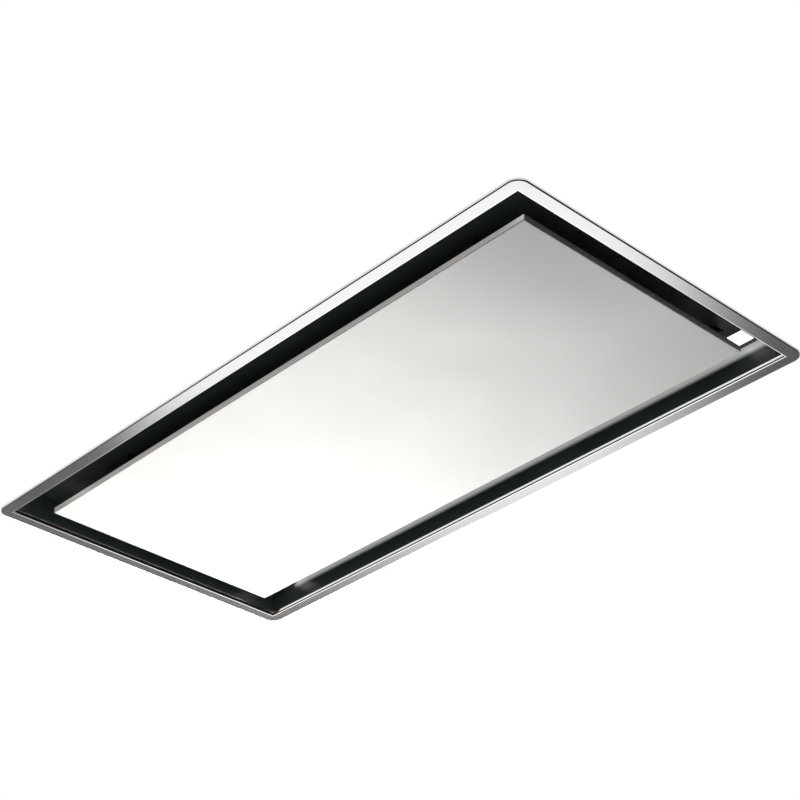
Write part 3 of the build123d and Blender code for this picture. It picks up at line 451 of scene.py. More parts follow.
FINISHES: tuple[Finish, ...] = (
    BrushedSteel("trim_steel", (0.72, 0.72, 0.715), 0.12, grain_depth=0.0000006, smudge=0.01),
    # painted shade: the panel's colour darkens towards its corner at x 449.5, y -188.5 mm
    BrushedSteel("panel_steel", (0.80, 0.785, 0.765), 0.50, grain_depth=0.000003,
                 painted_shade_spot=(449.5, -188.5, 0.0)),
    Foam("seal_foam", (0.82, 0.82, 0.80), 0.85),
    Galvanised("galvanised_sheet", (0.62, 0.64, 0.65), 0.52),
    Enamel("black_enamel", (0.045, 0.056, 0.056), 0.33),
    Enamel("black_steel", (0.025, 0.025, 0.026), 0.45, depth=0.00006),
    BareMetal("plated_steel", (0.66, 0.66, 0.63), 0.32, depth=0.000006),
    Moulded("magnet_ferrite", (0.075, 0.075, 0.08), 0.6),
    Moulded("black_plastic", (0.022, 0.022, 0.024), 0.42),
    Moulded("grey_plastic", (0.36, 0.37, 0.38), 0.45),
    Moulded("white_plastic", (0.78, 0.78, 0.76), 0.4),
    Moulded("flap_plastic", (0.12, 0.12, 0.13), 0.4),
    BareMetal("motor_cast", (0.50, 0.51, 0.52), 0.45),
    Moulded("black_rubber", (0.02, 0.02, 0.02), 0.8, skin=(900.0, 3.0), depth=0.00004),
    Moulded("board_green", (0.02, 0.13, 0.055), 0.3),
    BareMetal("capacitor_aluminium", (0.74, 0.75, 0.76), 0.28, depth=0.000006),
    BareMetal("filter_aluminium", (0.70, 0.71, 0.72), 0.33, depth=0.00001),
    Diffuser("lamp_glass", (0.98, 0.98, 0.97), 0.3),
    BareMetal("lamp_cast", (0.56, 0.57, 0.58), 0.5),
    BareMetal("rivet_aluminium", (0.76, 0.76, 0.77), 0.3, depth=0.000004),
    # finishes of some faces or pieces only
    BrushedSteel("polished_lip", (0.86, 0.85, 0.84), 0.08, grain_depth=0.0000004, smudge=0.015),
    # Lit and shaded copies of one steel for the panel's side faces: painted light in the glow and paler
    # colour, painted shade in the darker colour
    BrushedSteel("panel_side_lit", (0.80, 0.765, 0.755), 0.55, glow=0.27),
    BrushedSteel("panel_side_dim", (0.55, 0.54, 0.53), 0.55, glow=0.03),
    BareMetal("blackened_steel", (0.05, 0.05, 0.052), 0.5, depth=0.000006),
    # painted reflection and shade: a dark gold-brown colour for the groove in the polished lip
    BareMetal("lip_groove", (0.12, 0.075, 0.035), 0.4, depth=0.000004),
    SheenPaintedEnamel("banded_enamel", (0.045, 0.056, 0.056), 0.33),
)
# The recess walls get the enamel with the painted sheen band
FINISH_OF_NODE = {"recess_wall_back": "banded_enamel", "recess_wall_front": "banded_enamel"}


# ------------------------------------------------------------------ mesh helpers
def rounded(corners: Sequence[Place], steps: int = 6) -> list[Point]:
    """Round the corners of a closed outline.

    Args:
        corners: Each corner's two coordinates and its radius; radius 0 leaves it sharp.
        steps: Segments for each arc.

    Returns:
        The outline's points.
    """
    result: list[Point] = []
    for i, (x, y, radius) in enumerate(corners):
        if radius <= 0:
            result.append((x, y))
            continue
        here = Vector((x, y))
        before = (Vector(corners[i - 1][:2]) - here).normalized()
        after = (Vector(corners[(i + 1) % len(corners)][:2]) - here).normalized()
        half = before.angle(after) / 2
        reach = radius / math.tan(half)
        centre = here + (before + after).normalized() * (radius / math.sin(half))
        start, end = here + before * reach - centre, here + after * reach - centre
        sweep = start.angle_signed(end)
        for k in range(steps + 1):
            turn = -sweep * k / steps
            c, s = math.cos(turn), math.sin(turn)
            result.append(tuple(centre + Vector((start.x * c - start.y * s, start.x * s + start.y * c))))
    return result


def linked(name: str, data: bpy.types.ID) -> Object:
    """Put data into the scene as an object at the origin.

    Args:
        name: Object name.
        data: Mesh, camera or lamp.

    Returns:
        The object.
    """
    made = bpy.data.objects.new(name, data)
    bpy.context.scene.collection.objects.link(made)
    return made


def mesh_piece(name: str, verts: Iterable, faces: Iterable, slot: str,
               materials: Sequence[str]) -> Object:
    """Make one mesh piece with merged points and outward faces.

    Args:
        name: Piece name.
        verts: Points in metres.
        faces: Point numbers of each face.
        slot: The record's material slot; not used.
        materials: Material names in slot order.

    Returns:
        The new object.
    """
    mesh = bpy.data.meshes.new(name)
    mesh.from_pydata([tuple(v) for v in verts], [], faces)
    bm = bmesh.new()
    bm.from_mesh(mesh)
    bmesh.ops.remove_doubles(bm, verts=bm.verts, dist=0.000001)
    bmesh.ops.recalc_face_normals(bm, faces=bm.faces)
    bm.to_mesh(mesh)
    bm.free()
    for material in materials:
        mesh.materials.append(bpy.data.materials[material])
    made = linked(name, mesh)
    return made


def smooth_bends(piece: Object, degrees: float = 30.0) -> None:
    """Shade the bends smooth and leave the faces between them flat, so that a fold shows as a crisp line.

    Args:
        piece: Mesh object.
        degrees: Edges sharper than this stay sharp.
    """
    mesh = piece.data
    mesh.shade_smooth()
    mesh.set_sharp_from_angle(angle=math.radians(degrees))
    for face in mesh.polygons:
        if max(abs(part) for part in face.normal) > 0.99999:
            face.use_smooth = False
    LOG.info("%s: %d faces", piece.name, len(mesh.polygons))


@dataclass
class RingPath:
    """A rectangle with rounded corners that a profile runs round. Sizes in millimetres."""

    half_x: float
    half_y: float
    corner: float
    steps: int

    def loop(self, offset: float, z: float) -> list[Vector]:
        """Points of one closed line.

        Args:
            offset: Distance outward from the path.
            z: Height.

        Returns:
            Points in metres, the same number for every offset.
        """
        radius = max(0.0, self.corner + offset)
        cx, cy = self.half_x + offset - radius, self.half_y + offset - radius
        line = []
        for quarter, (sx, sy) in enumerate(((1, 1), (-1, 1), (-1, -1), (1, -1))):
            for k in range(self.steps + 1):
                a = math.radians(90 * quarter + 90 * k / self.steps)
                line.append(Vector((sx * cx + radius * math.cos(a), sy * cy + radius * math.sin(a), z)) * MM)
        return line

    def skin(self, profile: Sequence[Point],
             closed: bool = True) -> tuple[list[Vector], list[tuple[int, ...]]]:
        """Run a profile round the path.

        Args:
            profile: Offsets and heights.
            closed: Whether the profile comes back to its start; an open one gets a flat face at each end.

        Returns:
            Points and faces.
        """
        verts = [v for d, z in profile for v in self.loop(d, z)]
        rows = len(profile)
        n = len(verts) // rows
        faces = [
            (i * n + k, i * n + (k + 1) % n, (i + 1) % rows * n + (k + 1) % n, (i + 1) % rows * n + k)
            for i in range(rows if closed else rows - 1)
            for k in range(n)
        ]
        if not closed:
            faces += [tuple(range(n)), tuple(range((rows - 1) * n, rows * n))]
        return verts, faces


def turned(profile: Sequence[Point], sides: int, closed: bool = False,
           into: BMesh | None = None) -> BMesh:
    """A body turned about Z.

    Args:
        profile: Radii and heights in millimetres.
        sides: Facets round the axis.
        closed: Whether the profile comes back to its start, as a ring's section does.
        into: Mesh data that takes the body, or None for new data.

    Returns:
        The body's mesh data.
    """
    bm = into or bmesh.new()
    rings = []
    for radius, height in profile:
        angles = [math.tau * k / sides for k in range(sides if radius else 1)]
        ring = [(radius * math.cos(a) * MM, radius * math.sin(a) * MM, height * MM) for a in angles]
        rings.append([bm.verts.new(point) for point in ring])
    for low, high in zip(rings, rings[1:] + rings[:1] if closed else rings[1:]):
        for k in range(sides):
            m = (k + 1) % sides
            corners = (low[k % len(low)], low[m % len(low)], high[m % len(high)], high[k % len(high)])
            bm.faces.new(dict.fromkeys(corners))
    return bm


def template(bm: BMesh, name: str, degrees: float | None = None) -> Object:
    """Close mesh data into an object outside the scene, for a tree to copy.

    Args:
        bm: Mesh data, freed here.
        name: Object name.
        degrees: Edges sharper than this stay sharp; None leaves all faces flat.

    Returns:
        The object.
    """
    bmesh.ops.recalc_face_normals(bm, faces=bm.faces)
    mesh = bpy.data.meshes.new(name)
    bm.to_mesh(mesh)
    bm.free()
    if degrees:
        mesh.shade_smooth()
        mesh.set_sharp_from_angle(angle=math.radians(degrees))
    return bpy.data.objects.new(name, mesh)


# ------------------------------------------------------------------ node-built repeats
class Blueprint(Tree):
    """A geometry tree while it is wired up: named inputs, instances, then plain faces with one finish."""

    def __init__(self, name: str) -> None:
        """Start an empty tree with a geometry input and output.

        Args:
            name: Name of the tree.
        """
        super().__init__(bpy.data.node_groups.new(name, "GeometryNodeTree"))
        for way in ("INPUT", "OUTPUT"):
            self.tree.interface.new_socket("Geometry", in_out=way, socket_type="NodeSocketGeometry")
        self.start = self.node("NodeGroupInput")
        self.values: dict[str, object] = {}

    def value(self, name: str, kind: str, content: object) -> Socket:
        """Add a named input.

        Args:
            name: Input name.
            kind: Socket type, such as Float, Int, Object or Material.
            content: Its value.

        Returns:
            The socket inside the tree.
        """
        made = self.tree.interface.new_socket(name, in_out="INPUT", socket_type=f"NodeSocket{kind}")
        self.values[made.identifier] = content
        return self.start.outputs[name]

    def shape(self, name: str, part: Object) -> Socket:
        """Bring in an object as a named input."""
        return self.out("GeometryNodeObjectInfo", {0: self.value(name, "Object", part)}, "Geometry")

    def spread(self, points: Socket, shape: Socket, turn: Socket | None = None) -> Socket:
        """Set a copy of a shape on every point."""
        inputs = {"Points": points, "Instance": shape}
        return self.out("GeometryNodeInstanceOnPoints", inputs | ({} if turn is None else {"Rotation": turn}))

    def grow(self, name: str, geometry: Socket, seeds: bpy.types.Mesh, slot: str, body: Body,
             finish: str = "") -> Object:
        """End the tree in plain faces with one finish, run it and keep the result as one plain mesh.

        Args:
            name: Piece name.
            geometry: What the tree has made.
            seeds: Mesh whose points carry the attributes.
            slot: The record's material slot.
            body: Body that it rides on.
            finish: Material name, where it isn't the slot's own.

        Returns:
            The piece.
        """
        plain = self.out("GeometryNodeRealizeInstances", {0: geometry})
        material = self.value("Finish", "Material", bpy.data.materials[finish or slot])
        self.node("NodeGroupOutput", {0: self.out("GeometryNodeSetMaterial", {0: plain, 2: material})})
        base = linked(f"{name}_seeds", seeds)
        growth = base.modifiers.new("growth", "NODES")
        growth.node_group = self.tree
        for identifier, content in self.values.items():
            growth[identifier] = content
        graph = bpy.context.evaluated_depsgraph_get()
        mesh = bpy.data.meshes.new_from_object(base.evaluated_get(graph), depsgraph=graph)
        base.modifiers.remove(growth)
        bpy.data.objects.remove(base)
        mesh.name = name
        piece = linked(name, mesh)
        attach(piece, body.value)
        LOG.info("%s: %d faces", name, len(mesh.polygons))
        return piece


def seed_mesh(name: str, places: Iterable[Place], **vectors: Sequence[Place]) -> bpy.types.Mesh:
    """Points with vector attributes.

    Args:
        name: Mesh name.
        places: Points in millimetres.
        **vectors: One vector for each point, by attribute name.

    Returns:
        The mesh.
    """
    mesh = bpy.data.meshes.new(name)
    mesh.from_pydata([tuple(c * MM for c in place) for place in places], [], [])
    for key, rows in vectors.items():
        layer = mesh.attributes.new(key, "FLOAT_VECTOR", "POINT")
        for item, row in zip(layer.data, rows):
            item.vector = row
    return mesh


@dataclass(frozen=True)
class Pattern:
    """A level grid of fasteners: middle, halves, height and counts along X and Y. Sizes in millimetres."""

    middle: Point
    half: Point
    z: float
    count: tuple[int, int] = (2, 2)

    def spots(self, side_x: int = 1, side_y: int = 1) -> list[Place]:
        """Places of the fasteners.

        Args:
            side_x: -1 puts the grid's middle on the other side along X.
            side_y: The same along Y.

        Returns:
            The points.
        """
        xs, ys = (
            [side * middle - half + 2 * half * k / max(1, count - 1) for k in range(count)]
            for side, middle, half, count in zip((side_x, side_y), self.middle, self.half, self.count)
        )
        return [(x, y, self.z) for x in xs for y in ys]


@dataclass
class Fasteners:
    """All rivets and screws, one mesh for each kind, body and tone. Sizes in millimetres."""

    rivet_radius: float = 3.2
    rivet_rise: float = 1.2
    screw_radius: float = 3.8
    screw_rise: float = 2.2
    recess_reach: float = 2.0
    recess_half: float = 0.45
    recess_depth: float = 1.1
    recess_taper: float = 0.72
    sides: int = 20
    seed: int = 7
    web_long: Pattern = Pattern((0, 235.7), (425.7, 0), 11, (6, 1))
    web_short: Pattern = Pattern((485.7, 0), (0, 185.7), 11, (1, 3))
    rail: Pattern = Pattern((380, 0), (28, 204), 302, (2, 4))
    hinge_arm: Pattern = Pattern((415.5, 140), (7, 0), 14.6, (2, 1))
    striker: Pattern = Pattern((330, -161.5), (27.7, 0), 14.2, (2, 1))
    hinge_bracket: Pattern = Pattern((415.5, 176), (9.9, 0), 40, (2, 1))
    catch_holder: Pattern = Pattern((330, -161.5), (16.5, 0), 43, (2, 1))
    filter_seat: Pattern = Pattern((0, 0), (371.2, 152.2), 44.2, (6, 2))
    throat: Pattern = Pattern((0, 31.5), (60, 35), 295.8)
    spigot: Pattern = Pattern((0, 31.5), (81, 81), 303)
    box_lid: Pattern = Pattern((220, 0), (82, 52), 347.5)
    blower_axis: Point = (-39.5, 165.0)
    lug_x: float = 6.0
    lug_radius: float = 94.5
    scroll_step: float = 11.0
    mount_x: float = 68.5
    mount_radius: float = 73.0
    shading: float = 35.0
    places: dict[tuple[Head, Body, bool], list[tuple[Place, Place]]] = field(default_factory=dict)

    def put(self, head: Head, body: Body, spots: Iterable[Place], facing: Place, dark: bool = False) -> None:
        """Note down fasteners."""
        self.places.setdefault((head, body, dark), []).extend((spot, facing) for spot in spots)

    def on_circle(self, x: float, radius: float, degrees: float, shift: Point = (0.0, 0.0)) -> Place:
        """A place round the blower's axis."""
        (y, z), a = self.blower_axis, math.radians(degrees)
        return x, y + shift[0] + radius * math.cos(a), z + shift[1] + radius * math.sin(a)

    def plan(self) -> None:
        """Note down every rivet and screw of the hood."""
        housing, panel = Body.HOUSING, Body.PANEL
        for s in SIDES:
            self.put(Head.RIVET, housing, self.web_long.spots(1, s), (0, s, 0))
            self.put(Head.RIVET, housing, self.web_short.spots(s), (s, 0, 0))
            self.put(Head.RIVET, housing, self.rail.spots(s), UP)
            self.put(Head.RIVET, panel, self.hinge_arm.spots(s), UP)
            self.put(Head.RIVET, panel, self.striker.spots(s), UP)
            self.put(Head.SCREW, housing, self.hinge_bracket.spots(s), DOWN, dark=True)
            self.put(Head.SCREW, housing, self.catch_holder.spots(s), UP, dark=True)
        self.put(Head.RIVET, housing, self.filter_seat.spots(), UP)
        self.put(Head.SCREW, housing, self.throat.spots(), DOWN)
        self.put(Head.SCREW, housing, self.spigot.spots(), UP)
        self.put(Head.SCREW, housing, self.box_lid.spots(), UP)
        step, lug = self.scroll_step, self.lug_radius
        arcs = ((lug, 135, (0, 0)), (lug + step, 225, (step, 0)), (lug + 2 * step, 315, (step, step)))
        mounts = [self.on_circle(self.mount_x, self.mount_radius, degrees) for degrees in (90, 210, 330)]
        self.put(Head.SCREW, housing, [self.on_circle(self.lug_x, *arc) for arc in arcs], FORWARD)
        self.put(Head.SCREW, housing, mounts, FORWARD)

    def rivet_head(self) -> BMesh:
        """A domed head with a small dimple.

        Returns:
            The head's mesh data.
        """
        r, h = self.rivet_radius, self.rivet_rise
        return turned([(0, 0), (r, 0), (r, 0.15), (r * 0.86, h * 0.55), (r * 0.6, h * 0.86), (r * 0.34, h),
                       (r * 0.3, h * 0.8), (0, h * 0.8)], self.sides)

    def screw_head(self) -> BMesh:
        """A pan head with a cross recess.

        Returns:
            The head's mesh data.
        """
        r, h, arm, half = self.screw_radius, self.screw_rise, self.recess_reach, self.recess_half
        bm = turned([(0, 0), (r, 0), (r, h * 0.45), (r * 0.93, h * 0.75), (r * 0.78, h * 0.94),
                     (r * 0.62, h)], self.sides)

        def bearing(vert: bmesh.types.BMVert) -> float:
            """Angle of a point round the axis."""
            return math.atan2(vert.co.y, vert.co.x)

        rim = sorted((v for v in bm.verts if abs(v.co.z - h * MM) < 1e-7), key=bearing)
        cross = []
        for k in range(4):
            c, s = math.cos(math.tau * k / 4), math.sin(math.tau * k / 4)
            for x, y in ((half, -half), (arm, -half), (arm, half)):
                cross.append(((x * c - y * s) * MM, (x * s + y * c) * MM))
        count, taper, floor = len(cross), self.recess_taper, (h - self.recess_depth) * MM
        top = [bm.verts.new((x, y, h * MM)) for x, y in cross]
        low = [bm.verts.new((x * taper, y * taper, floor)) for x, y in cross]
        for k in range(count):
            bm.faces.new((top[k], low[k], low[(k + 1) % count], top[(k + 1) % count]))
        bm.faces.new(low)
        ring = sorted(top, key=bearing)
        pairs = (*zip(rim, rim[1:] + rim[:1]), *zip(ring, ring[1:] + ring[:1]))
        bmesh.ops.bridge_loops(bm, edges=[bm.edges.get(pair) for pair in pairs])
        return bm

    def build(self) -> None:
        """Grow every kind on every body."""
        self.plan()
        for (head, body, dark), rows in self.places.items():
            kind = head.name.lower()
            shaped = self.rivet_head() if head is Head.RIVET else self.screw_head()
            part = template(shaped, f"{kind}_head", self.shading)
            plan = Blueprint(f"{kind}_plan")
            shape = plan.shape("Head", part)
            ends = {2: 0.0, 3: math.tau, "Seed": plan.value("Seed", "Int", self.seed)}
            spin = plan.out("FunctionNodeRandomValue", ends, 1)
            facing = plan.out("GeometryNodeInputNamedAttribute", {0: "facing"}, data_type="FLOAT_VECTOR")
            lean = plan.out("FunctionNodeAlignRotationToVector", {2: facing}, axis="Z")
            twist = plan.out("FunctionNodeAxisAngleToRotation", {0: UP, 1: spin})
            whole = plan.out("FunctionNodeRotateRotation", {0: lean, 1: twist}, rotation_space="LOCAL")
            heads = plan.spread(plan.start.outputs["Geometry"], shape, whole)
            places, directions = zip(*rows)
            seeds = seed_mesh(kind, places, facing=directions)
            name, finish = (f"dark_{kind}s", "blackened_steel") if dark else (f"{kind}s", "")
            plan.grow(f"{name}_{body.value}", heads, seeds, head.value, body, finish)
            bpy.data.objects.remove(part)


@dataclass
class FanWheel:
    """Drum impeller: hub and disc, two end rings and forward-curved blades. Sizes in millimetres."""

    axis_y: float = -39.5
    axis_z: float = 165.0
    radius: float = 75.0
    half_width: float = 48.0
    blades: int = 30
    blade_root: float = 61.0
    blade_tip: float = 74.4
    blade_sheet: float = 1.0
    bow: float = 3.6
    bow_rise: float = 2.8
    bow_dip: float = 2.3
    ring_depth: float = 2.0
    bore: float = 4.0
    hub_radius: float = 10.0
    hub: Point = (-16.0, 6.0)
    edge: float = 0.6
    steps: int = 6

    def blade(self) -> Object:
        """One blade at the wheel's first station.

        Returns:
            The blade, outside the scene.
        """
        bm = bmesh.new()
        line = []
        for k in range(self.steps + 1):
            share = k / self.steps
            bow = self.bow * (self.bow_rise * share * share - self.bow_dip * share)
            line.append((self.blade_root + share * (self.blade_tip - self.blade_root), bow))
        section = [*line, *((r, y + self.blade_sheet) for r, y in reversed(line))]
        reach = self.half_width - self.ring_depth / 2
        ends = (-reach, reach)
        low, high = ([bm.verts.new((r * MM, y * MM, z * MM)) for r, y in section] for z in ends)
        count = len(section)
        for k in range(count):
            bm.faces.new((low[k], low[(k + 1) % count], high[(k + 1) % count], high[k]))
        bm.faces.new(low[::-1])
        bm.faces.new(high)
        return template(bm, "blade", 28)

    def rings(self) -> Object:
        """Hub with its disc, and the end rings.

        Returns:
            Both as one object, outside the scene.
        """
        r, w, d, (back, front) = self.radius, self.half_width, self.ring_depth, self.hub
        bore, hub, edge, sides = self.bore, self.hub_radius, self.edge, 2 * self.blades
        inner = self.blade_root - 1
        bm = turned([(bore, back), (bore, front), (hub - edge, front), (hub, front - edge), (hub, 2),
                     (hub + 1, 1), (r - 0.5, 1), (r - 0.1, 0), (r - 0.5, -1), (hub + 2, -1), (hub, -3),
                     (hub, back + edge), (hub - edge, back)], sides, closed=True)
        for s in SIDES:
            ring = [(inner, w - d), (r - 0.4, w - d), (r, w - d + 0.4), (r, w - 0.4), (r - 0.4, w),
                    (inner + edge, w), (inner, w - edge)]
            turned([(x, s * z) for x, z in ring], sides, closed=True, into=bm)
        return template(bm, "rings", 28)

    def build(self) -> None:
        """Set the blades round the rings and put the wheel in place of its solid."""
        blade, rings = self.blade(), self.rings()
        plan = Blueprint("wheel_plan")
        blades = plan.value("Blades", "Int", self.blades)
        station = plan.combined("DIVIDE", math.tau, blades)
        angle = plan.combined("MULTIPLY", plan.out("GeometryNodeInputIndex"), station)
        turn = plan.out("ShaderNodeCombineXYZ", {2: angle})
        stations = plan.out("GeometryNodePoints", {"Count": blades})
        drum = plan.spread(stations, plan.shape("Blade", blade), turn)
        whole = plan.node("GeometryNodeJoinGeometry")
        for half in (drum, plan.shape("Rings", rings)):
            plan.tree.links.new(half, whole.inputs[0])
        seated = plan.out("GeometryNodeTransform", {
            "Geometry": whole.outputs[0],
            "Translation": (0, self.axis_y * MM, self.axis_z * MM),
            "Rotation": (math.pi / 2, 0, math.pi / 2),
        })
        seed = seed_mesh("wheel_seed", [(0, 0, 0)])
        wheel = plan.grow("fan_wheel", seated, seed, "black_plastic", Body.ROTOR)
        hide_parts("impeller")
        for part in (blade, rings):
            bpy.data.objects.remove(part)


@dataclass
class FilterFaces:
    """Expanded metal on both faces of the two filter packs, notched for the latch. Sizes in millimetres."""

    centre_x: float = 203.0
    half_x: float = 186.0
    half_y: float = 136.0
    low_z: float = 43.05
    high_z: float = 50.95
    notch_half: float = 35.0
    notch_end: float = -106.0
    long_pitch: float = 14.0
    short_pitch: float = 7.0
    strand: float = 1.3
    sheet: float = 0.5
    tilt: float = 0.22

    def strand_pair(self) -> Object:
        """Two crossing strands, one knot of the lattice.

        Returns:
            The knot, outside the scene.
        """
        bm = bmesh.new()
        a, b = self.long_pitch / 4, self.short_pitch / 4
        size = (2 * math.hypot(a, b) * MM, self.strand * MM, self.sheet * MM)
        for s in (1, -1):
            made = bmesh.ops.create_cube(bm, size=1.0)["verts"]
            bmesh.ops.scale(bm, verts=made, vec=size)
            for turn, axis in ((math.atan2(s * b, a), "Z"), (s * self.tilt, "X")):
                bmesh.ops.rotate(bm, verts=made, matrix=Matrix.Rotation(turn, 3, axis))
        return template(bm, "strand_pair")

    def knots(self, side: int) -> list[Place]:
        """Places of the lattice's knots on both faces of one pack, less the notch.

        Args:
            side: -1 or 1.

        Returns:
            Points in millimetres.
        """
        step_x, step_y = self.long_pitch / 2, self.short_pitch / 2
        across, along = int(self.half_x / step_x), int(self.half_y / step_y)
        return [
            (side * self.centre_x + i * step_x, j * step_y, z)
            for z in (self.low_z, self.high_z)
            for i in range(-across, across + 1)
            for j in range(-along, along + 1)
            if (i + j) % 2 == 0
            and not (z == self.low_z and abs(i * step_x) < self.notch_half and j * step_y < self.notch_end)
        ]

    def build(self) -> None:
        """Grow the lattice of each pack."""
        part = self.strand_pair()
        for name, side in (("left", -1), ("right", 1)):
            plan = Blueprint("expanded_metal")
            lattice = plan.spread(plan.start.outputs["Geometry"], plan.shape("Strands", part))
            seeds = seed_mesh("knots", self.knots(side))
            plan.grow(f"filter_lattice_{name}", lattice, seeds, "filter_aluminium", Body.HOUSING)
        bpy.data.objects.remove(part)


# ------------------------------------------------------------------ folded sheet
@dataclass
class TrimFrame:
    """Folded trim round the opening: flange, turned-up rim, hem and polished lip. Sizes in millimetres."""

    opening_x: float = 481.5
    opening_y: float = 231.5
    face: float = 18.5
    corner: float = 17.0
    sheet: float = 1.2
    rim: float = 4.0
    hem: float = 6.0
    edge_round: float = 1.8
    lip_reach: float = 2.0
    lip_drop: float = 0.17
    lip_edge: float = 0.25
    groove_depth: float = 1.2
    groove_low: float = 0.7
    groove_high: float = 3.1
    bead_edge: float = 0.2
    bead_z: float = 5.1
    lip_z: float = 6.0
    web_in: float = 1.15
    web_out: float = 2.35
    web_z: float = 16.0
    lip_top: float = 6.2
    level: float = 0.998

    def outline(self) -> list[Point]:
        """Profile of the folded sheet, as offsets from the opening and heights.

        Returns:
            The profile's points.
        """
        w, s = self.face, self.sheet
        return rounded([
            (self.lip_reach, 0.0, 0.0), (w, 0.0, self.edge_round), (w, self.rim, 0.9),
            (w - self.hem, self.rim, 0.3), (w - self.hem, self.rim - s, 0.0), (w - s, self.rim - s, 0.25),
            (w - s, s, 0.3), (self.web_out, s, 1.0), (self.web_out, self.web_z, 0.2),
            (self.web_in, self.web_z, 0.2), (self.web_in, self.lip_z, 0.0), (0.0, self.lip_z, 0.15),
            (self.bead_edge, self.bead_z + 0.2, 0.0), (self.bead_edge, self.bead_z, 0.0),
            (self.groove_depth, self.groove_high, 0.0), (self.groove_depth, self.groove_low, 0.0),
            (self.lip_edge, self.lip_drop + 0.2, 0.0), (self.lip_edge, self.lip_drop, 0.1),
        ])

    def build(self) -> None:
        """Make the trim and put it in place of its solid."""
        path = RingPath(self.opening_x, self.opening_y, self.corner - self.face, 14)
        finishes = ["trim_steel", "polished_lip", "lip_groove"]
        piece = mesh_piece("folded_trim", *path.skin(self.outline()), "trim_steel", finishes)
        for face in piece.data.polygons:
            x, y, z = face.center
            depth = max(abs(x) - self.opening_x * MM, abs(y) - self.opening_y * MM) / MM
            height = z / MM
            # Upright lip faces get the polished finish; those in the groove get the painted dark gold-brown
            # reflection and shade
            if depth < self.lip_reach and height < self.lip_top and abs(face.normal.z) < self.level:
                face.material_index = 2 if self.lip_drop < height < self.groove_high else 1
        smooth_bends(piece)
        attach(piece, Body.HOUSING.value)
        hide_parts("trim_frame")


@dataclass
class SuctionPanel:
    """Folded tray that hangs in the opening. Sizes in millimetres."""

    half_x: float = 449.5
    half_y: float = 188.5
    corner: float = 0.9
    bottom: float = 1.4
    height: float = 9.5
    sheet: float = 1.2
    inward: float = 14.0
    bend: float = 0.8
    upright: float = 0.2
    near: float = -0.5

    def build(self) -> None:
        """Make the tray and put it in place of its solid."""
        low, top, bend = self.bottom, self.bottom + self.height, self.bend
        s, back = self.sheet, self.inward
        ring = rounded([(0, low, bend), (0, top, bend), (-back, top, 0.2), (-back, top - s, 0.2),
                        (-s, top - s, 0.3), (-s, low + s, 0.3)], 5)
        path = RingPath(self.half_x, self.half_y, self.corner, 4)
        finishes = ["panel_steel", "panel_side_lit", "panel_side_dim"]
        piece = mesh_piece("folded_panel", *path.skin(ring, closed=False), "panel_steel", finishes)
        # Upright faces turned towards -Y get the painted-lit copy, the other upright faces the painted-shade
        # copy
        for face in piece.data.polygons:
            if abs(face.normal.z) < self.upright:
                face.material_index = 1 if face.normal.y < self.near else 2
        smooth_bends(piece)
        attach(piece, Body.PANEL.value)
        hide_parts("panel_skin")


# ------------------------------------------------------------------ camera and studio
@dataclass
class Viewpoint:
    """The photograph's camera. Metres."""

    place: Place = (1.600277, -1.442121, -1.321699)
    right: Place = (0.682180, 0.731177, 0.003286)
    up: Place = (0.393050, -0.370495, 0.841573)
    lens: float = 88.0067
    clip: Point = (0.05, 200.0)

    def build(self) -> None:
        """Make the camera and make it the scene's own."""
        data = bpy.data.cameras.new("camera")
        data.lens, data.sensor_width = self.lens, 36.0
        data.clip_start, data.clip_end = self.clip
        camera = linked("camera", data)
        right, up = Vector(self.right).normalized(), Vector(self.up)
        up = (up - right * up.dot(right)).normalized()
        turn = Matrix((right, up, right.cross(up))).transposed()
        camera.matrix_world = Matrix.Translation(self.place) @ turn.to_4x4()
        bpy.context.scene.camera = camera


@dataclass(frozen=True)
class Softbox:
    """A soft rectangular lamp. Metres and watts."""

    name: str
    place: Place
    aim: Place
    size: Point
    power: float

    def build(self) -> None:
        """Make the lamp."""
        data = bpy.data.lights.new(self.name, "AREA")
        data.shape = "RECTANGLE"
        data.size, data.size_y = self.size
        data.energy = self.power
        lamp = linked(self.name, data)
        lamp.location = self.place
        lamp.rotation_euler = (Vector(self.aim) - Vector(self.place)).to_track_quat("-Z", "Y").to_euler()


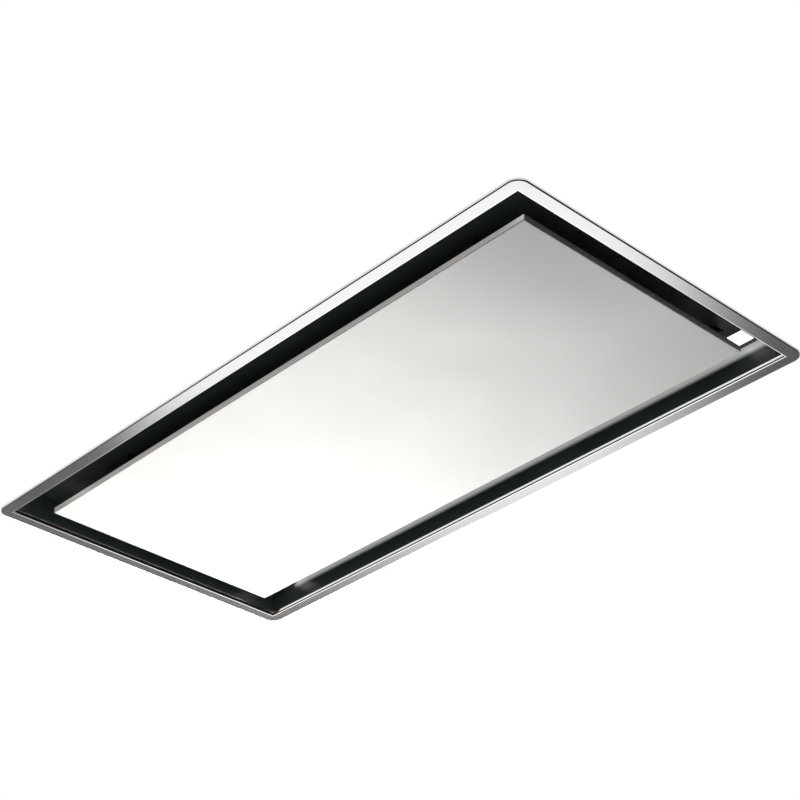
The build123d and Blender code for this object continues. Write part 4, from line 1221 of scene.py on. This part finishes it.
@dataclass
class Studio:
    """Floor, ceiling, white surroundings, soft lamps and two cards that only metal and glass see. Metres."""

    floor_z: float = -3.6
    floor_half: float = 9.0
    soft_light: float = 0.75
    card_z: float = -3.0
    card_half: float = 5.65
    card_black: float = 0.01
    card_grey: float = 0.12
    card_fade: Point = (1.0, 3.4)
    card_bright: float = 1.27
    card_centre: Place = (-3.02, 2.86, 0.0)
    card_turn: float = -47.0
    card_reach: Place = (2.3, 1.52, 1.0e6)
    card_core: float = 0.5
    dark_card_x: float = 6.0
    dark_card_y: Point = (-1.0, 9.0)
    dark_card_top: float = -0.02
    board_z: float = 0.00405
    board_half: float = 9.0
    cutout: Point = (0.490, 0.240)
    lamps: tuple[Softbox, ...] = (
        Softbox("low_softbox", (-3.59, 2.61, -0.70), (0, 0, 0), (2.5, 1.15), 100),
        Softbox("top_softbox", (1.8, -2.2, 3.4), (0, 0, 0.15), (2.4, 2.4), 14),
    )

    def build(self) -> None:
        """Make world, floor, ceiling board, cards and lamps."""
        self.world()
        self.floor()
        self.ceiling()
        self.card()
        self.dark_card()
        for lamp in self.lamps:
            lamp.build()

    def world(self) -> None:
        """White surroundings for the camera and for metal and glass, softer light for the rest."""
        world = bpy.data.worlds.new("studio")
        bpy.context.scene.world = world
        world.use_nodes = True
        sky = Tree(world.node_tree)
        level = sky.mapped(sky.direct_rays(), (0.0, 1.0), (self.soft_light, 1.0))
        sky.node("ShaderNodeOutputWorld", {0: sky.out("ShaderNodeBackground", {0: WHITE, 1: level})})

    @staticmethod
    def level(half_x: float, half_y: float, z: float) -> list[Place]:
        """Corners of a level rectangle round the middle."""
        return [(sx * half_x, sy * half_y, z) for sx, sy in ((-1, -1), (1, -1), (1, 1), (-1, 1))]

    @staticmethod
    def screen(name: str, verts: Sequence[Place], material: Material,
               faces: Sequence[Sequence[int]] = ((0, 1, 2, 3),)) -> Object:
        """Make a stage piece from points and faces.

        Args:
            name: Object name.
            verts: Points.
            material: Its material.
            faces: Point numbers of each face.

        Returns:
            The piece.
        """
        mesh = bpy.data.meshes.new(name)
        mesh.from_pydata(verts, [], faces)
        mesh.materials.append(material)
        made = linked(name, mesh)
        return made

    def mirrored(self, verts: Sequence[Place], w: Wiring, light: Socket | float) -> None:
        """Make a card that only metal and glass see.

        Args:
            verts: Its corners.
            w: Its material's tree, which also names it.
            light: How bright it is.
        """
        glow = w.out("ShaderNodeEmission", {"Color": WHITE, "Strength": light})
        card = self.screen(w.material.name, verts, w.output(glow))
        for ray in ("camera", "diffuse", "shadow", "transmission", "volume_scatter"):
            setattr(card, f"visible_{ray}", False)

    def floor(self) -> None:
        """Pale floor far below the ceiling."""
        w = Wiring("pale_floor")
        tone = w.shades(w.noise(0.8), [(0.3, (0.80, 0.80, 0.80)), (0.7, (0.84, 0.84, 0.84))])
        paint = w.surface({"Base Color": tone, "Roughness": 0.9})
        self.screen("floor", self.level(self.floor_half, self.floor_half, self.floor_z), paint)

    def ceiling(self) -> None:
        """White ceiling board round the cut-out, clear when looked at from above."""
        w = Wiring("ceiling_board")
        paint = w.out("ShaderNodeBsdfDiffuse", {"Color": (0.85, 0.85, 0.85, 1)})
        white = w.out("ShaderNodeEmission", {"Color": WHITE})
        seen = w.out("ShaderNodeMixShader", {0: w.direct_rays(), 1: paint, 2: white})
        above = w.out("ShaderNodeNewGeometry", port="Backfacing")
        whole = w.out("ShaderNodeMixShader", {0: above, 1: w.out("ShaderNodeBsdfTransparent"), 2: seen})
        half, z = self.board_half, self.board_z
        verts = self.level(half, half, z) + self.level(*self.cutout, z)
        faces = [(k, (k + 1) % 4, (k + 1) % 4 + 4, k + 4) for k in range(4)]
        self.screen("ceiling_board", verts, w.output(whole), faces)

    def card(self) -> None:
        """Grey card with a soft bright patch."""
        w = Wiring("grey_card")
        patch = w.out("ShaderNodeMapping", {
            "Vector": w.place,
            "Location": self.card_centre,
            "Rotation": (0, 0, math.radians(self.card_turn)),
            "Scale": self.card_reach,
        }, vector_type="TEXTURE")
        near = w.out("ShaderNodeTexGradient", {0: patch}, 1, gradient_type="SPHERICAL")
        slant = {0: w.place, 1: (-0.707, 0.707, 0)}
        across = w.out("ShaderNodeVectorMath", slant, "Value", operation="DOT_PRODUCT")
        grey = w.mapped(across, self.card_fade, (self.card_black, self.card_grey), "SMOOTHSTEP")
        soft = w.mapped(near, (0.0, self.card_core), (grey, self.card_bright), "SMOOTHERSTEP")
        self.mirrored(self.level(self.card_half, self.card_half, self.card_z), w, soft)

    def dark_card(self) -> None:
        """Upright dark card at the right, which keeps the faces turned that way dark."""
        x, (near, far), low, top = self.dark_card_x, self.dark_card_y, self.card_z, self.dark_card_top
        self.mirrored([(x, near, low), (x, far, low), (x, far, top), (x, near, top)], Wiring("dark_card"),
                      self.card_black)


# ------------------------------------------------------------------ putting it together
def clear_frame() -> None:
    """Remove the frame's own cameras, lamps and materials."""
    for old in list(bpy.data.objects):
        if old.type in {"CAMERA", "LIGHT"}:
            bpy.data.objects.remove(old)
    for plain in list(bpy.data.materials):
        bpy.data.materials.remove(plain)


def dress_nodes() -> None:
    """Give every carried-over node the finish of its record slot, except the recess walls, which get the
    enamel with the painted sheen band.
    """
    slots = {part["node"]: part["material_slot"] for part in frame["record"]["subparts"]}
    for name, node in frame["nodes"].items():
        node.data.materials.clear()
        node.data.materials.append(bpy.data.materials[FINISH_OF_NODE.get(name, slots[name])])


def main() -> None:
    """Build the finishes, the hood and the studio."""
    logging.basicConfig(level=logging.INFO, format="%(name)s %(message)s")
    clear_frame()
    for finish in FINISHES:
        finish.build()
    dress_nodes()
    for kind in (TrimFrame, SuctionPanel, Fasteners, FilterFaces, FanWheel, Viewpoint, Studio):
        kind().build()
        LOG.info("%s done", kind.__name__)
    bpy.context.scene.view_settings.view_transform = "Standard"


if __name__ == "__main__":
    main()
